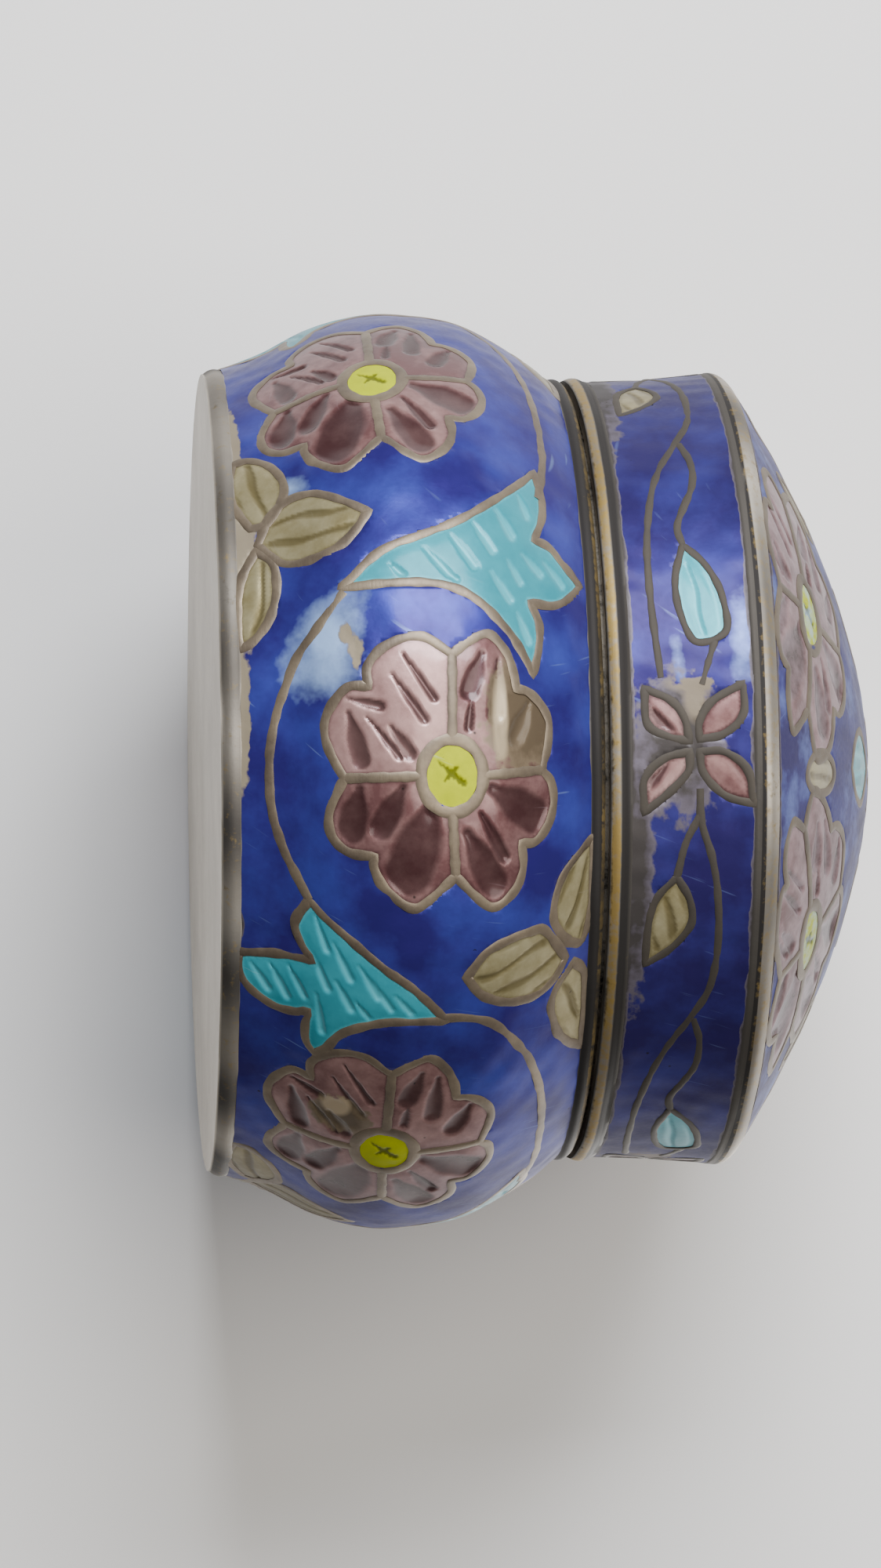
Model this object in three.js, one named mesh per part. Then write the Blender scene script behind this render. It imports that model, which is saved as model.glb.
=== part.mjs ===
import * as THREE from 'three';

// A small round box of enamelled silver: a bulging bowl and a low domed lid that lifts off.
// Both pieces are hollow and turned about +Z. Lengths are in millimetres, and the box stands on z = 0.

// Driving dimensions
const BELLY_RADIUS = 29.0;
const FOOT_RADIUS = 25.2;
const MOUTH_RADIUS = 24.6;
const LID_RADIUS = 24.75;
const LID_EDGE_RADIUS = 25.3;
const BODY_HEIGHT = 22.7;
const LID_EDGE_HEIGHT = 33.05;
const TOTAL_HEIGHT = 42.4;

// Sheet silver with its coat of enamel
const WALL = 1.1;
const BASE_THICKNESS = 1.3;

// Soldered wires and edges, each a part of the piece that it borders
const RIM_PROUD = 0.18;
const FOOT_RIM_HEIGHT = 1.1;
const FOOT_FLARE = 0.35;
const MOUTH_RIM_HEIGHT = 0.8;
const MOUTH_FLARE = 0.2;
const LID_RIM_HEIGHT = 1.1;
const LID_EDGE_RIM_HEIGHT = 0.9;

// The collar stands up from the mouth and centres the lid
const COLLAR_WALL = 0.8;
const COLLAR_HEIGHT = 3.4;
const GAP = 0.3;

// The dome falls from its crown as a power of the radius
const DOME_POWER = 1.77;
const DOME_EDGE_INSET = 0.5;

// Fineness of the facets
const SEGMENTS = 72;
const BELLY_STEPS = 15;
const BELLY_INNER_STEPS = 9;
const RIM_STEPS = 3;
const SIDE_STEPS = 5;
const DOME_STEPS = 10;
const DOME_INNER_STEPS = 7;

const lidFoot = BODY_HEIGHT + GAP;
const domeRadius = LID_EDGE_RADIUS - DOME_EDGE_INSET;
const domeRise = TOTAL_HEIGHT - LID_EDGE_HEIGHT;
const collarRadius = LID_RADIUS - WALL - GAP;

const silver = new THREE.MeshStandardMaterial({ color: 0xb4ada2, roughness: 0.38, metalness: 1.0 });
const enamel = new THREE.MeshStandardMaterial({ color: 0x2c3f8e, roughness: 0.22, metalness: 0.25 });

/** A point of an outline, by its radius and its height. */
function at(radius, height) {
  return new THREE.Vector2(radius, height);
}

/** The bowl's outside between its two rims: a flared foot, a round belly and a drawn-in shoulder. */
function bellyCurve() {
  return new THREE.SplineCurve([
    at(FOOT_RADIUS + FOOT_FLARE, FOOT_RIM_HEIGHT),
    at(FOOT_RADIUS + 1.4, 3.8),
    at(BELLY_RADIUS - 1.0, 6.5),
    at(BELLY_RADIUS - 0.15, 9.4),
    at(BELLY_RADIUS, 12.0),
    at(BELLY_RADIUS - 0.6, 16.0),
    at(BELLY_RADIUS - 2.75, 20.0),
    at(MOUTH_RADIUS + MOUTH_FLARE, BODY_HEIGHT - MOUTH_RIM_HEIGHT),
  ]);
}

/** A half-round wire seen in section, from one height up to another, standing proud of a straight wall. */
function wire(lowRadius, lowHeight, highRadius, highHeight, proud) {
  const points = [];
  for (let step = 0; step <= RIM_STEPS; step += 1) {
    const t = step / RIM_STEPS;
    const radius = THREE.MathUtils.lerp(lowRadius, highRadius, t) + proud * Math.sin(Math.PI * t);
    points.push(at(radius, THREE.MathUtils.lerp(lowHeight, highHeight, t)));
  }
  return points;
}

/** Moves every point of an outline inwards, square to the outline, by a wall's thickness. */
function inset(points, thickness) {
  return points.map((point, index) => {
    const before = points[Math.max(index - 1, 0)];
    const after = points[Math.min(index + 1, points.length - 1)];
    const along = after.clone().sub(before).normalize();
    return at(point.x - along.y * thickness, point.y + along.x * thickness);
  });
}

/** The lid's side, hollowed a little between its two wires and flaring to the upper edge. */
function lidSideCurve() {
  const low = lidFoot + LID_RIM_HEIGHT;
  const high = LID_EDGE_HEIGHT - LID_EDGE_RIM_HEIGHT;
  const middle = (low + high) / 2;
  return new THREE.QuadraticBezierCurve(at(LID_RADIUS, low), at(LID_RADIUS, middle), at(LID_EDGE_RADIUS, high));
}

/** The dome from its edge to its crown: the height is the crown's, less the rise times (r / edge)^DOME_POWER. */
function domeOutline(edgeRadius, crownHeight, steps) {
  const points = [];
  for (let step = 0; step <= steps; step += 1) {
    const share = 1 - step / steps;
    points.push(at(edgeRadius * share, crownHeight - domeRise * Math.pow(share, DOME_POWER)));
  }
  return points;
}

/** Turns a closed outline about +Z. */
function turned(name, outline, material) {
  const geometry = new THREE.LatheGeometry(outline, SEGMENTS);
  geometry.rotateX(Math.PI / 2);
  const mesh = new THREE.Mesh(geometry, material);
  mesh.name = name;
  return mesh;
}

/** The bowl: flat underside, rims, bulging wall, ledge for the lid and collar, then back down the inside. */
function makeBody() {
  const belly = bellyCurve();
  const mouthLow = BODY_HEIGHT - MOUTH_RIM_HEIGHT;
  const innerWall = inset(belly.getPoints(BELLY_INNER_STEPS), WALL)
    .filter((point) => point.y > BASE_THICKNESS + WALL && point.x > collarRadius - COLLAR_WALL)
    .reverse();
  const collarTop = BODY_HEIGHT + COLLAR_HEIGHT;
  const outline = [
    at(0, 0),
    ...wire(FOOT_RADIUS, 0, FOOT_RADIUS + FOOT_FLARE, FOOT_RIM_HEIGHT, RIM_PROUD),
    ...belly.getPoints(BELLY_STEPS).slice(1, -1),
    ...wire(MOUTH_RADIUS + MOUTH_FLARE, mouthLow, MOUTH_RADIUS, BODY_HEIGHT, RIM_PROUD),
    at(collarRadius, BODY_HEIGHT),
    at(collarRadius, collarTop),
    at(collarRadius - COLLAR_WALL, collarTop),
    at(collarRadius - COLLAR_WALL, mouthLow - WALL),
    ...innerWall,
    at(FOOT_RADIUS - WALL, BASE_THICKNESS),
    at(0, BASE_THICKNESS),
  ];
  return turned('body', outline, enamel);
}

/** The lid: lower wire, hollowed side, upper wire and dome, then back down the inside. */
function makeLid() {
  const sideLow = lidFoot + LID_RIM_HEIGHT;
  const sideHigh = LID_EDGE_HEIGHT - LID_EDGE_RIM_HEIGHT;
  const innerRadius = LID_RADIUS - WALL;
  const outline = [
    at(innerRadius, lidFoot),
    ...wire(LID_RADIUS, lidFoot, LID_RADIUS, sideLow, RIM_PROUD),
    ...lidSideCurve().getPoints(SIDE_STEPS).slice(1, -1),
    ...wire(LID_EDGE_RADIUS, sideHigh, domeRadius, LID_EDGE_HEIGHT, RIM_PROUD),
    ...domeOutline(domeRadius, TOTAL_HEIGHT, DOME_STEPS).slice(1),
    ...domeOutline(innerRadius, TOTAL_HEIGHT - WALL, DOME_INNER_STEPS).reverse(),
    at(innerRadius, lidFoot),
  ];
  return turned('lid', outline, silver);
}

const box = new THREE.Group();
box.add(makeBody(), makeLid());

export default box;
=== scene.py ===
"""A small round box of enamelled silver: flowers, leaves and stems in cells of metal, over a turned bowl and lid.

Lengths are in millimetres until a mesh is made, and the box stands upright on z = 0. On the bowl and the lid a motif
is drawn flat, in a plan whose first coordinate runs up the wall towards the crown and whose second runs round +Z.
"""
import logging
import math
from dataclasses import dataclass, field
from enum import Enum

import bpy
import numpy as np
from mathutils import Matrix, Vector
from mathutils.geometry import delaunay_2d_cdt


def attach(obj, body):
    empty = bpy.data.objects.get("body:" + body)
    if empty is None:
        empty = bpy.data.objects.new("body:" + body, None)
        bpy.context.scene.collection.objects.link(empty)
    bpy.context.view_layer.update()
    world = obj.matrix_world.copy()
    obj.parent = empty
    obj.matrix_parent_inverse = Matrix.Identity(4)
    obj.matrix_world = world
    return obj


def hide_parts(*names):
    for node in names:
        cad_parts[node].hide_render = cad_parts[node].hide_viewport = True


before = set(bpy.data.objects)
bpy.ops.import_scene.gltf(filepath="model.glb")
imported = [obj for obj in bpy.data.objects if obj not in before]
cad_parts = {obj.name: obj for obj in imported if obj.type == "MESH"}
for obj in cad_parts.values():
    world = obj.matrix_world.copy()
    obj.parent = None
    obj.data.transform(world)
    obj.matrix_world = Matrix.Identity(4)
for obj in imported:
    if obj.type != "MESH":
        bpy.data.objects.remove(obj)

MM = 0.001
ROOT = "root"
LOG = logging.getLogger("box")

# Spacing of the points along a line in a plan, in mm.
STEP = 0.2
# A radius between the lid's and the belly's, in mm, at which points are unrolled and waves round the box counted.
MIDDLE_RADIUS = 27.0
# How far below the skin the silver lies under its glass, the ground glass under a cell, and the glass's underside.
SILVER_DEPTH = 0.3
COVERED_DEPTH = 0.37
GLASS_DEPTH = 0.45
# Points round a turned shell of silver.
SHELL_POINTS = 360
# The angle in degrees between two faces from which their edge is shaded as a sharp one.
SHARP_ANGLE = 50

Points = tuple[tuple[float, float], ...]


# Colour and nodes


def linear(hex_colour: int) -> tuple[float, float, float, float]:
    """Turns an sRGB hex value into linear light.

    Args:
        hex_colour: The colour as 0xRRGGBB.

    Returns:
        Red, green, blue and an alpha of 1. A channel c gives c / 12.92 up to 0.04045, and above it
        ((c + 0.055) / 1.055) ^ 2.4.
    """
    channels = [((hex_colour >> shift) & 255) / 255 for shift in (16, 8, 0)]
    light = [c / 12.92 if c <= 0.04045 else ((c + 0.055) / 1.055) ** 2.4 for c in channels]
    return (light[0], light[1], light[2], 1.0)


def node(tree: bpy.types.NodeTree, kind: str, links: dict | None = None, **settings: object) -> bpy.types.Node:
    """Adds a node with its settings and its links.

    Args:
        tree: The node tree that gets the node.
        kind: The node's Blender type.
        links: Input name or number to either a value or the output socket that feeds it.
        settings: Properties of the node itself.

    Returns:
        The new node.
    """
    made = tree.nodes.new(kind)
    for name, value in settings.items():
        setattr(made, name, value)
    for key, value in (links or {}).items():
        socket = made.inputs[key]
        if isinstance(value, bpy.types.NodeSocket):
            tree.links.new(value, socket)
        else:
            socket.default_value = value
    return made


def new_material(name: str) -> tuple[bpy.types.Material, bpy.types.NodeTree]:
    """Makes an empty node material.

    Args:
        name: The real material's name.

    Returns:
        The material and its node tree.
    """
    material = bpy.data.materials.new(name)
    material.use_nodes = True
    material.node_tree.nodes.clear()
    return material, material.node_tree


class Slot(Enum):
    """The record's material slots."""

    COBALT = "cobalt_enamel"
    TURQUOISE = "turquoise_enamel"
    AUBERGINE = "aubergine_enamel"
    STRAW = "straw_enamel"
    YELLOW = "yellow_enamel"
    SILVER = "silver"


@dataclass(frozen=True)
class GlassEnamel:
    """Translucent glass enamel, fired over silver that a graver has cut bright.

    The light goes through the glass, is thrown back by the metal and comes out coloured, so the body of the shader is
    a tinted, slightly rough metal, and the polished glass is its clear coat. Five marks on the mesh vary it: cut is
    the depth of a graver's cut, and also carries a dark line painted beside the walls for the shade of that crevice,
    thicker glass and grime; tone the thinness of the glass, which on the flowers' hearts and the lid's band also
    paints light and shade; bare where the glass has come away; rubbed where that metal is light, in one strip also a
    painted highlight; and frost where knocks have crushed the glass to a pale haze. Over the lid's dome frost is a
    painted sheen of grazing reflection, and one patch on the lid's band is partly a painted highlight. Mottle, grain,
    flake and pit gap are the sizes in mm of its clouds, its fine unevenness, the ragged edge of a bare place and the
    space between pits.
    """

    name: str
    slot: Slot
    deep: int
    thin: int
    cut: int
    bare: int = 0x8C8066
    edge: int = 0x8D8068
    rubbed: int = 0xB4A88C
    metallic: float = 0.4
    roughness: float = 0.36
    mottle: float = 1.6
    speck: int = 0x1A1714
    frost: int = 0x94B2DC
    sheen: int = 0x8C8C9C
    coat: float = 0.16
    grain: float = 0.35
    flake: float = 0.8
    pit_gap: float = 1.9

    def make(self) -> bpy.types.Material:
        """Builds the material.

        Returns:
            The finished material. Mottle of about the given size in mm shifts the glass between its deep and its thin
            colour, cuts take their own colour, fine pits are dark, hairline scratches are pale, and bare places show
            dull or light metal with a worn edge.
        """
        material, tree = new_material(self.name)
        place = node(tree, "ShaderNodeTexCoord").outputs["Object"]
        cut = node(tree, "ShaderNodeAttribute", attribute_name="cut").outputs["Fac"]
        tone = node(tree, "ShaderNodeAttribute", attribute_name="tone").outputs["Fac"]
        bare = node(tree, "ShaderNodeAttribute", attribute_name="bare").outputs["Fac"]
        haze = node(tree, "ShaderNodeAttribute", attribute_name="frost").outputs["Fac"]
        cloud = node(tree, "ShaderNodeTexNoise", {"Vector": place, "Scale": 1 / (self.mottle * MM), "Detail": 4.0,
                                                  "Roughness": 0.6})
        grain = node(tree, "ShaderNodeTexNoise", {"Vector": place, "Scale": 1 / (self.grain * MM), "Detail": 3.0})
        mottled = node(tree, "ShaderNodeMath", {0: cloud.outputs["Fac"], 1: 1.2, 2: -0.35}, operation="MULTIPLY_ADD")
        thin = node(tree, "ShaderNodeMath", {0: mottled.outputs[0], 1: tone}, operation="ADD", use_clamp=True)
        glass = node(tree, "ShaderNodeMix", {"Factor": thin.outputs[0], "A": linear(self.deep),
                                             "B": linear(self.thin)}, data_type="RGBA")
        scored = node(tree, "ShaderNodeMath", {0: cut, 1: 0.75}, operation="MULTIPLY", use_clamp=True)
        carved = node(tree, "ShaderNodeMix", {"Factor": scored.outputs[0], "A": glass.outputs["Result"],
                                              "B": linear(self.cut)}, data_type="RGBA")
        pits = node(tree, "ShaderNodeTexVoronoi", {"Vector": place, "Scale": 1 / (self.pit_gap * MM),
                                                   "Randomness": 1.0})
        pit = node(tree, "ShaderNodeMapRange", {"Value": pits.outputs["Distance"], "From Min": 0.07,
                                                "From Max": 0.03})
        some = node(tree, "ShaderNodeMath", {0: cloud.outputs["Fac"], 1: 0.54}, operation="GREATER_THAN")
        pitted = node(tree, "ShaderNodeMath", {0: pit.outputs[0], 1: some.outputs[0]}, operation="MULTIPLY")
        speckled = node(tree, "ShaderNodeMix", {"Factor": pitted.outputs[0], "A": carved.outputs["Result"],
                                                "B": linear(self.speck)}, data_type="RGBA")
        slant = node(tree, "ShaderNodeMapping", {"Vector": place, "Rotation": (0.5, 0.3, 0.7),
                                                 "Scale": (0.2 * MM, 3.5 * MM, 3.5 * MM)}, vector_type="TEXTURE")
        lines = node(tree, "ShaderNodeTexNoise", {"Vector": slant.outputs[0], "Scale": 1.0, "Detail": 1.0})
        hair = node(tree, "ShaderNodeMapRange", {"Value": lines.outputs["Fac"], "From Min": 0.72, "From Max": 0.8,
                                                 "To Max": 0.16})
        scratched = node(tree, "ShaderNodeMix", {"Factor": hair.outputs[0], "A": speckled.outputs["Result"],
                                                 "B": linear(self.frost)}, data_type="RGBA")
        flaky = node(tree, "ShaderNodeMath", {0: cloud.outputs["Fac"], 1: 1.2, 2: -0.6}, operation="MULTIPLY_ADD")
        crushed = node(tree, "ShaderNodeMath", {0: flaky.outputs[0], 1: haze}, operation="ADD")
        white = node(tree, "ShaderNodeMapRange", {"Value": crushed.outputs[0], "From Min": 0.3, "From Max": 0.95})
        frosted = node(tree, "ShaderNodeMix", {"Factor": white.outputs[0], "A": scratched.outputs["Result"],
                                               "B": linear(self.frost)}, data_type="RGBA")
        flake = node(tree, "ShaderNodeTexNoise", {"Vector": place, "Scale": 1 / (self.flake * MM), "Detail": 3.0})
        torn = node(tree, "ShaderNodeMath", {0: flake.outputs["Fac"], 1: 0.5, 2: -0.25}, operation="MULTIPLY_ADD")
        ragged = node(tree, "ShaderNodeMath", {0: torn.outputs[0], 1: bare}, operation="ADD")
        border = node(tree, "ShaderNodeMapRange", {"Value": ragged.outputs[0], "From Min": 0.42, "From Max": 0.5})
        open_metal = node(tree, "ShaderNodeMapRange", {"Value": ragged.outputs[0], "From Min": 0.52, "From Max": 0.7})
        rusty = node(tree, "ShaderNodeMix", {"Factor": border.outputs[0], "A": frosted.outputs["Result"],
                                             "B": linear(self.edge)}, data_type="RGBA")
        stripped = node(tree, "ShaderNodeMix", {"Factor": open_metal.outputs[0], "A": rusty.outputs["Result"],
                                                "B": linear(self.bare)}, data_type="RGBA")
        rubbed = node(tree, "ShaderNodeAttribute", attribute_name="rubbed").outputs["Fac"]
        handled = node(tree, "ShaderNodeMapRange", {"Value": rubbed, "From Min": 0.1, "From Max": 0.4})
        bright = node(tree, "ShaderNodeMath", {0: handled.outputs[0], 1: border.outputs[0]}, operation="MULTIPLY")
        colour = node(tree, "ShaderNodeMix", {"Factor": bright.outputs[0], "A": stripped.outputs["Result"],
                                              "B": linear(self.rubbed)}, data_type="RGBA")
        rough = node(tree, "ShaderNodeMapRange", {"Value": grain.outputs["Fac"], "To Min": self.roughness - 0.08,
                                                  "To Max": self.roughness + 0.08})
        dull = node(tree, "ShaderNodeMix", {"Factor": border.outputs[0], "A": rough.outputs[0], "B": 0.5})
        bump = node(tree, "ShaderNodeBump", {"Height": grain.outputs["Fac"], "Strength": 0.35,
                                             "Distance": 0.02 * MM})
        shader = node(tree, "ShaderNodeBsdfPrincipled", {
            "Base Color": colour.outputs["Result"], "Metallic": self.metallic, "Roughness": dull.outputs["Result"],
            "Coat Weight": self.coat, "Coat Roughness": 0.16, "Specular IOR Level": 0.2,
            "Specular Tint": linear(self.sheen), "Normal": bump.outputs["Normal"]})
        node(tree, "ShaderNodeOutputMaterial", {"Surface": shader.outputs["BSDF"]})
        return material


@dataclass(frozen=True)
class OldSilver:
    """Silver that has been handled for years: grey and satin, with gilt left on some wires, dirt, and darker seams.

    Three marks on the mesh vary it: gilt is where the gold wash is left, slate where the metal has gone dark, and
    soot where dirt sits. Above the lid's lower wire, slate is also painted shade of the seam, and soot is heavier in
    the seams between lid and bowl. Grime, grain and groove are the sizes in mm of its clouds of dirt, its fine
    patches and its turning marks.
    """

    name: str
    bright: int
    dull: int
    gilt: int = 0xC7A661
    soot: int = 0x2C2823
    slate: int = 0x3E3A38
    roughness: float = 0.36
    metallic: float = 0.8
    scratch: float = 0.5
    cloud_size: float = 3.0
    cloud_contrast: float = 1.0
    grime: float = 3.0
    grain: float = 0.5
    groove: float = 0.16

    def make(self) -> bpy.types.Material:
        """Builds the material.

        Returns:
            The finished material. Clouds of the given size in mm shift the silver between bright and dull, fine
            turning marks run round the piece and in rings across its flats, and tarnish gathers where the soot mark
            and the noise both say so.
        """
        material, tree = new_material(self.name)
        place = node(tree, "ShaderNodeTexCoord").outputs["Object"]
        gilt = node(tree, "ShaderNodeAttribute", attribute_name="gilt").outputs["Fac"]
        soot = node(tree, "ShaderNodeAttribute", attribute_name="soot").outputs["Fac"]
        cloud = node(tree, "ShaderNodeTexNoise", {"Vector": place, "Scale": 1 / (self.grime * MM), "Detail": 5.0,
                                                  "Roughness": 0.62})
        fine = node(tree, "ShaderNodeTexNoise", {"Vector": place, "Scale": 1 / (self.grain * MM), "Detail": 4.0,
                                                 "Roughness": 0.65})
        stretch = node(tree, "ShaderNodeMapping", {"Vector": place, "Scale": (0.12, 0.12, 1.0)})
        level = node(tree, "ShaderNodeVectorMath", {0: place, 1: (1.0, 1.0, 0.0)}, operation="MULTIPLY")
        radius = node(tree, "ShaderNodeVectorMath", {0: level.outputs[0]}, operation="LENGTH")
        rings = node(tree, "ShaderNodeVectorMath", {0: stretch.outputs[0], 1: radius.outputs["Value"]},
                     operation="ADD")
        lines = node(tree, "ShaderNodeTexNoise", {"Vector": rings.outputs[0], "Scale": 1 / (self.groove * MM),
                                                  "Detail": 2.0})
        broad = node(tree, "ShaderNodeTexNoise", {"Vector": place, "Scale": 1 / (self.cloud_size * MM), "Detail": 5.0,
                                                  "Roughness": 0.62})
        mood = node(tree, "ShaderNodeMapRange", {"Value": broad.outputs["Fac"],
                                                 "From Min": 0.5 - 0.15 / self.cloud_contrast,
                                                 "From Max": 0.5 + 0.15 / self.cloud_contrast})
        metal = node(tree, "ShaderNodeMix", {"Factor": mood.outputs[0], "A": linear(self.dull),
                                             "B": linear(self.bright)}, data_type="RGBA")
        slate = node(tree, "ShaderNodeAttribute", attribute_name="slate").outputs["Fac"]
        dim = node(tree, "ShaderNodeMix", {"Factor": slate, "A": metal.outputs["Result"],
                                           "B": linear(self.slate)}, data_type="RGBA")
        patch = node(tree, "ShaderNodeMath", {0: fine.outputs["Fac"], 1: 1.2, 2: -0.6}, operation="MULTIPLY_ADD")
        left = node(tree, "ShaderNodeMath", {0: gilt, 1: patch.outputs[0]}, operation="ADD")
        gold = node(tree, "ShaderNodeMapRange", {"Value": left.outputs[0], "From Min": 0.35, "From Max": 0.75})
        washed = node(tree, "ShaderNodeMix", {"Factor": gold.outputs[0], "A": dim.outputs["Result"],
                                              "B": linear(self.gilt)}, data_type="RGBA")
        dirt = node(tree, "ShaderNodeMath", {0: cloud.outputs["Fac"], 1: 1.4, 2: -0.7}, operation="MULTIPLY_ADD")
        crumbs = node(tree, "ShaderNodeMath", {0: patch.outputs[0], 1: dirt.outputs[0]}, operation="ADD")
        lodged = node(tree, "ShaderNodeMath", {0: soot, 1: crumbs.outputs[0]}, operation="ADD")
        dirty = node(tree, "ShaderNodeMapRange", {"Value": lodged.outputs[0], "From Min": 0.4, "From Max": 0.85})
        colour = node(tree, "ShaderNodeMix", {"Factor": dirty.outputs[0], "A": washed.outputs["Result"],
                                              "B": linear(self.soot)}, data_type="RGBA")
        rough = node(tree, "ShaderNodeMapRange", {"Value": fine.outputs["Fac"], "To Min": self.roughness - 0.1,
                                                  "To Max": self.roughness + 0.14})
        unpolished = node(tree, "ShaderNodeMath", {0: dirty.outputs[0], 1: slate}, operation="MAXIMUM",
                          use_clamp=True)
        matt = node(tree, "ShaderNodeMix", {"Factor": unpolished.outputs[0], "A": rough.outputs[0], "B": 0.72})
        worn = node(tree, "ShaderNodeMath", {0: lines.outputs["Fac"], 1: self.scratch, 2: fine.outputs["Fac"]},
                    operation="MULTIPLY_ADD")
        bump = node(tree, "ShaderNodeBump", {"Height": worn.outputs[0], "Strength": 0.4, "Distance": 0.03 * MM})
        shader = node(tree, "ShaderNodeBsdfPrincipled", {
            "Base Color": colour.outputs["Result"], "Metallic": self.metallic, "Roughness": matt.outputs["Result"],
            "Normal": bump.outputs["Normal"]})
        node(tree, "ShaderNodeOutputMaterial", {"Surface": shader.outputs["BSDF"]})
        return material


@dataclass(frozen=True)
class PaleCard:
    """Matt pale card for the floor and the sheet behind the box, clear from its back so that it hides nothing."""

    name: str
    colour: int
    cloud_size: float = 60.0

    def make(self) -> bpy.types.Material:
        """Builds the material.

        Returns:
            The finished material: card from its front, transparent from its back.
        """
        material, tree = new_material(self.name)
        place = node(tree, "ShaderNodeTexCoord").outputs["Object"]
        cloud = node(tree, "ShaderNodeTexNoise", {"Vector": place, "Scale": 1 / (self.cloud_size * MM),
                                                  "Detail": 2.0})
        shade = node(tree, "ShaderNodeMapRange", {"Value": cloud.outputs["Fac"], "To Min": 0.97, "To Max": 1.0})
        tint = node(tree, "ShaderNodeMix", {"Factor": 1.0, "A": linear(self.colour), "B": shade.outputs[0]},
                    data_type="RGBA", blend_type="MULTIPLY")
        card = node(tree, "ShaderNodeBsdfDiffuse", {"Color": tint.outputs["Result"]})
        clear = node(tree, "ShaderNodeBsdfTransparent")
        behind = node(tree, "ShaderNodeNewGeometry").outputs["Backfacing"]
        either = node(tree, "ShaderNodeMixShader", {0: behind, 1: card.outputs[0], 2: clear.outputs[0]})
        node(tree, "ShaderNodeOutputMaterial", {"Surface": either.outputs[0]})
        return material


# Surfaces


@dataclass
class Patch:
    """A closed surface: its points in millimetres, its triangles, and the marks that its finish reads."""

    points: np.ndarray
    triangles: np.ndarray
    marks: dict[str, np.ndarray] = field(default_factory=dict)

    def facing_out(self) -> "Patch":
        """Turns every triangle round if the volume, the sum of a . (b x c) / 6, comes out negative.

        Returns:
            Itself, facing outwards.
        """
        a, b, c = (self.points[self.triangles[:, k]] for k in range(3))
        if np.einsum("ij,ij->i", a, np.cross(b, c)).sum() < 0:
            self.triangles = self.triangles[:, ::-1].copy()
        return self


def join(patches: list[Patch]) -> Patch:
    """Puts several patches into one.

    Args:
        patches: The patches, each with any marks.

    Returns:
        One patch with all points and triangles. A mark that a patch lacks is 0 there.
    """
    starts = np.cumsum([0] + [len(patch.points) for patch in patches])
    names = sorted({name for patch in patches for name in patch.marks})
    marks = {name: np.concatenate([patch.marks.get(name, np.zeros(len(patch.points))) for patch in patches])
             for name in names}
    triangles = np.vstack([patch.triangles + start for patch, start in zip(patches, starts)])
    return Patch(np.vstack([patch.points for patch in patches]), triangles, marks)


def make_piece(name: str, patch: Patch, material: bpy.types.Material, slot: Slot) -> bpy.types.Object:
    """Makes a Blender object of a patch, dresses it and lets it ride on the box.

    Args:
        name: The piece's name.
        patch: Its surface in millimetres.
        material: Its finish.
        slot: The record's slot that it takes its finish from; not used.

    Returns:
        The object, at the origin, with its place in its mesh.
    """
    mesh = bpy.data.meshes.new(name)
    count = len(patch.triangles)
    mesh.vertices.add(len(patch.points))
    mesh.vertices.foreach_set("co", (patch.points * MM).astype(np.float32).ravel())
    mesh.loops.add(3 * count)
    mesh.loops.foreach_set("vertex_index", patch.triangles.astype(np.int32).ravel())
    mesh.polygons.add(count)
    mesh.polygons.foreach_set("loop_start", np.arange(0, 3 * count, 3, dtype=np.int32))
    mesh.update(calc_edges=True)
    mesh.shade_smooth()
    mesh.set_sharp_from_angle(angle=math.radians(SHARP_ANGLE))
    for mark, values in patch.marks.items():
        layer = mesh.attributes.new(mark, "FLOAT", "POINT")
        layer.data.foreach_set("value", values.astype(np.float32))
    mesh.materials.append(material)
    piece = bpy.data.objects.new(name, mesh)
    bpy.context.scene.collection.objects.link(piece)
    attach(piece, ROOT)
    LOG.info("%s: %d triangles", name, count)
    return piece


def smooth_run(points: np.ndarray, step: float) -> np.ndarray:
    """Carries a smooth curve through a run of points and spaces it evenly.

    Args:
        points: The points, shape (n, 2).
        step: The spacing of the result in mm.

    Returns:
        Points on the Catmull-Rom curve: on each stretch a cubic through its two ends, whose slope at an end is half
        the step between that end's neighbours.
    """
    ends = np.vstack([2 * points[0] - points[1], points, 2 * points[-1] - points[-2]])
    place = np.linspace(0, len(points) - 1, 16 * (len(points) - 1) + 1)
    at = np.minimum(place.astype(int), len(points) - 2)
    t = (place - at)[:, None]
    p0, p1, p2, p3 = (ends[at + k] for k in range(4))
    curve = 0.5 * (2 * p1 + (p2 - p0) * t + (2 * p0 - 5 * p1 + 4 * p2 - p3) * t**2
                   + (3 * p1 - p0 - 3 * p2 + p3) * t**3)
    return respaced(curve, step)


def respaced(curve: np.ndarray, step: float) -> np.ndarray:
    """Moves points along a polyline until they are evenly spaced.

    Args:
        curve: The polyline, shape (n, 2).
        step: The wished spacing in mm.

    Returns:
        Points at equal parts of the polyline's run, found by going straight from one given point to the next.
    """
    run = np.concatenate([[0.0], np.cumsum(np.hypot(*np.diff(curve, axis=0).T))])
    even = np.linspace(0, run[-1], max(2, round(run[-1] / step)) + 1)
    return np.stack([np.interp(even, run, curve[:, k]) for k in range(2)], axis=1)


@dataclass(frozen=True)
class Outline:
    """A line drawn in a plan: smooth through its points, but sharp at the numbered corners."""

    points: Points
    corners: tuple[int, ...] = (0,)
    closed: bool = True

    def traced(self) -> np.ndarray:
        """Draws the line.

        Returns:
            Evenly spaced points, shape (n, 2). A closed line doesn't repeat its first point.
        """
        given = np.array(self.points)
        stops = list(self.corners)
        if self.closed:
            given = np.vstack([given, given[:1]])
        stops = stops + [len(given) - 1] if stops[-1] != len(given) - 1 else stops
        runs = [smooth_run(given[a:b + 1], STEP)[:-1] for a, b in zip(stops[:-1], stops[1:])]
        line = np.vstack(runs)
        return line if self.closed else np.vstack([line, given[-1:]])


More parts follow.
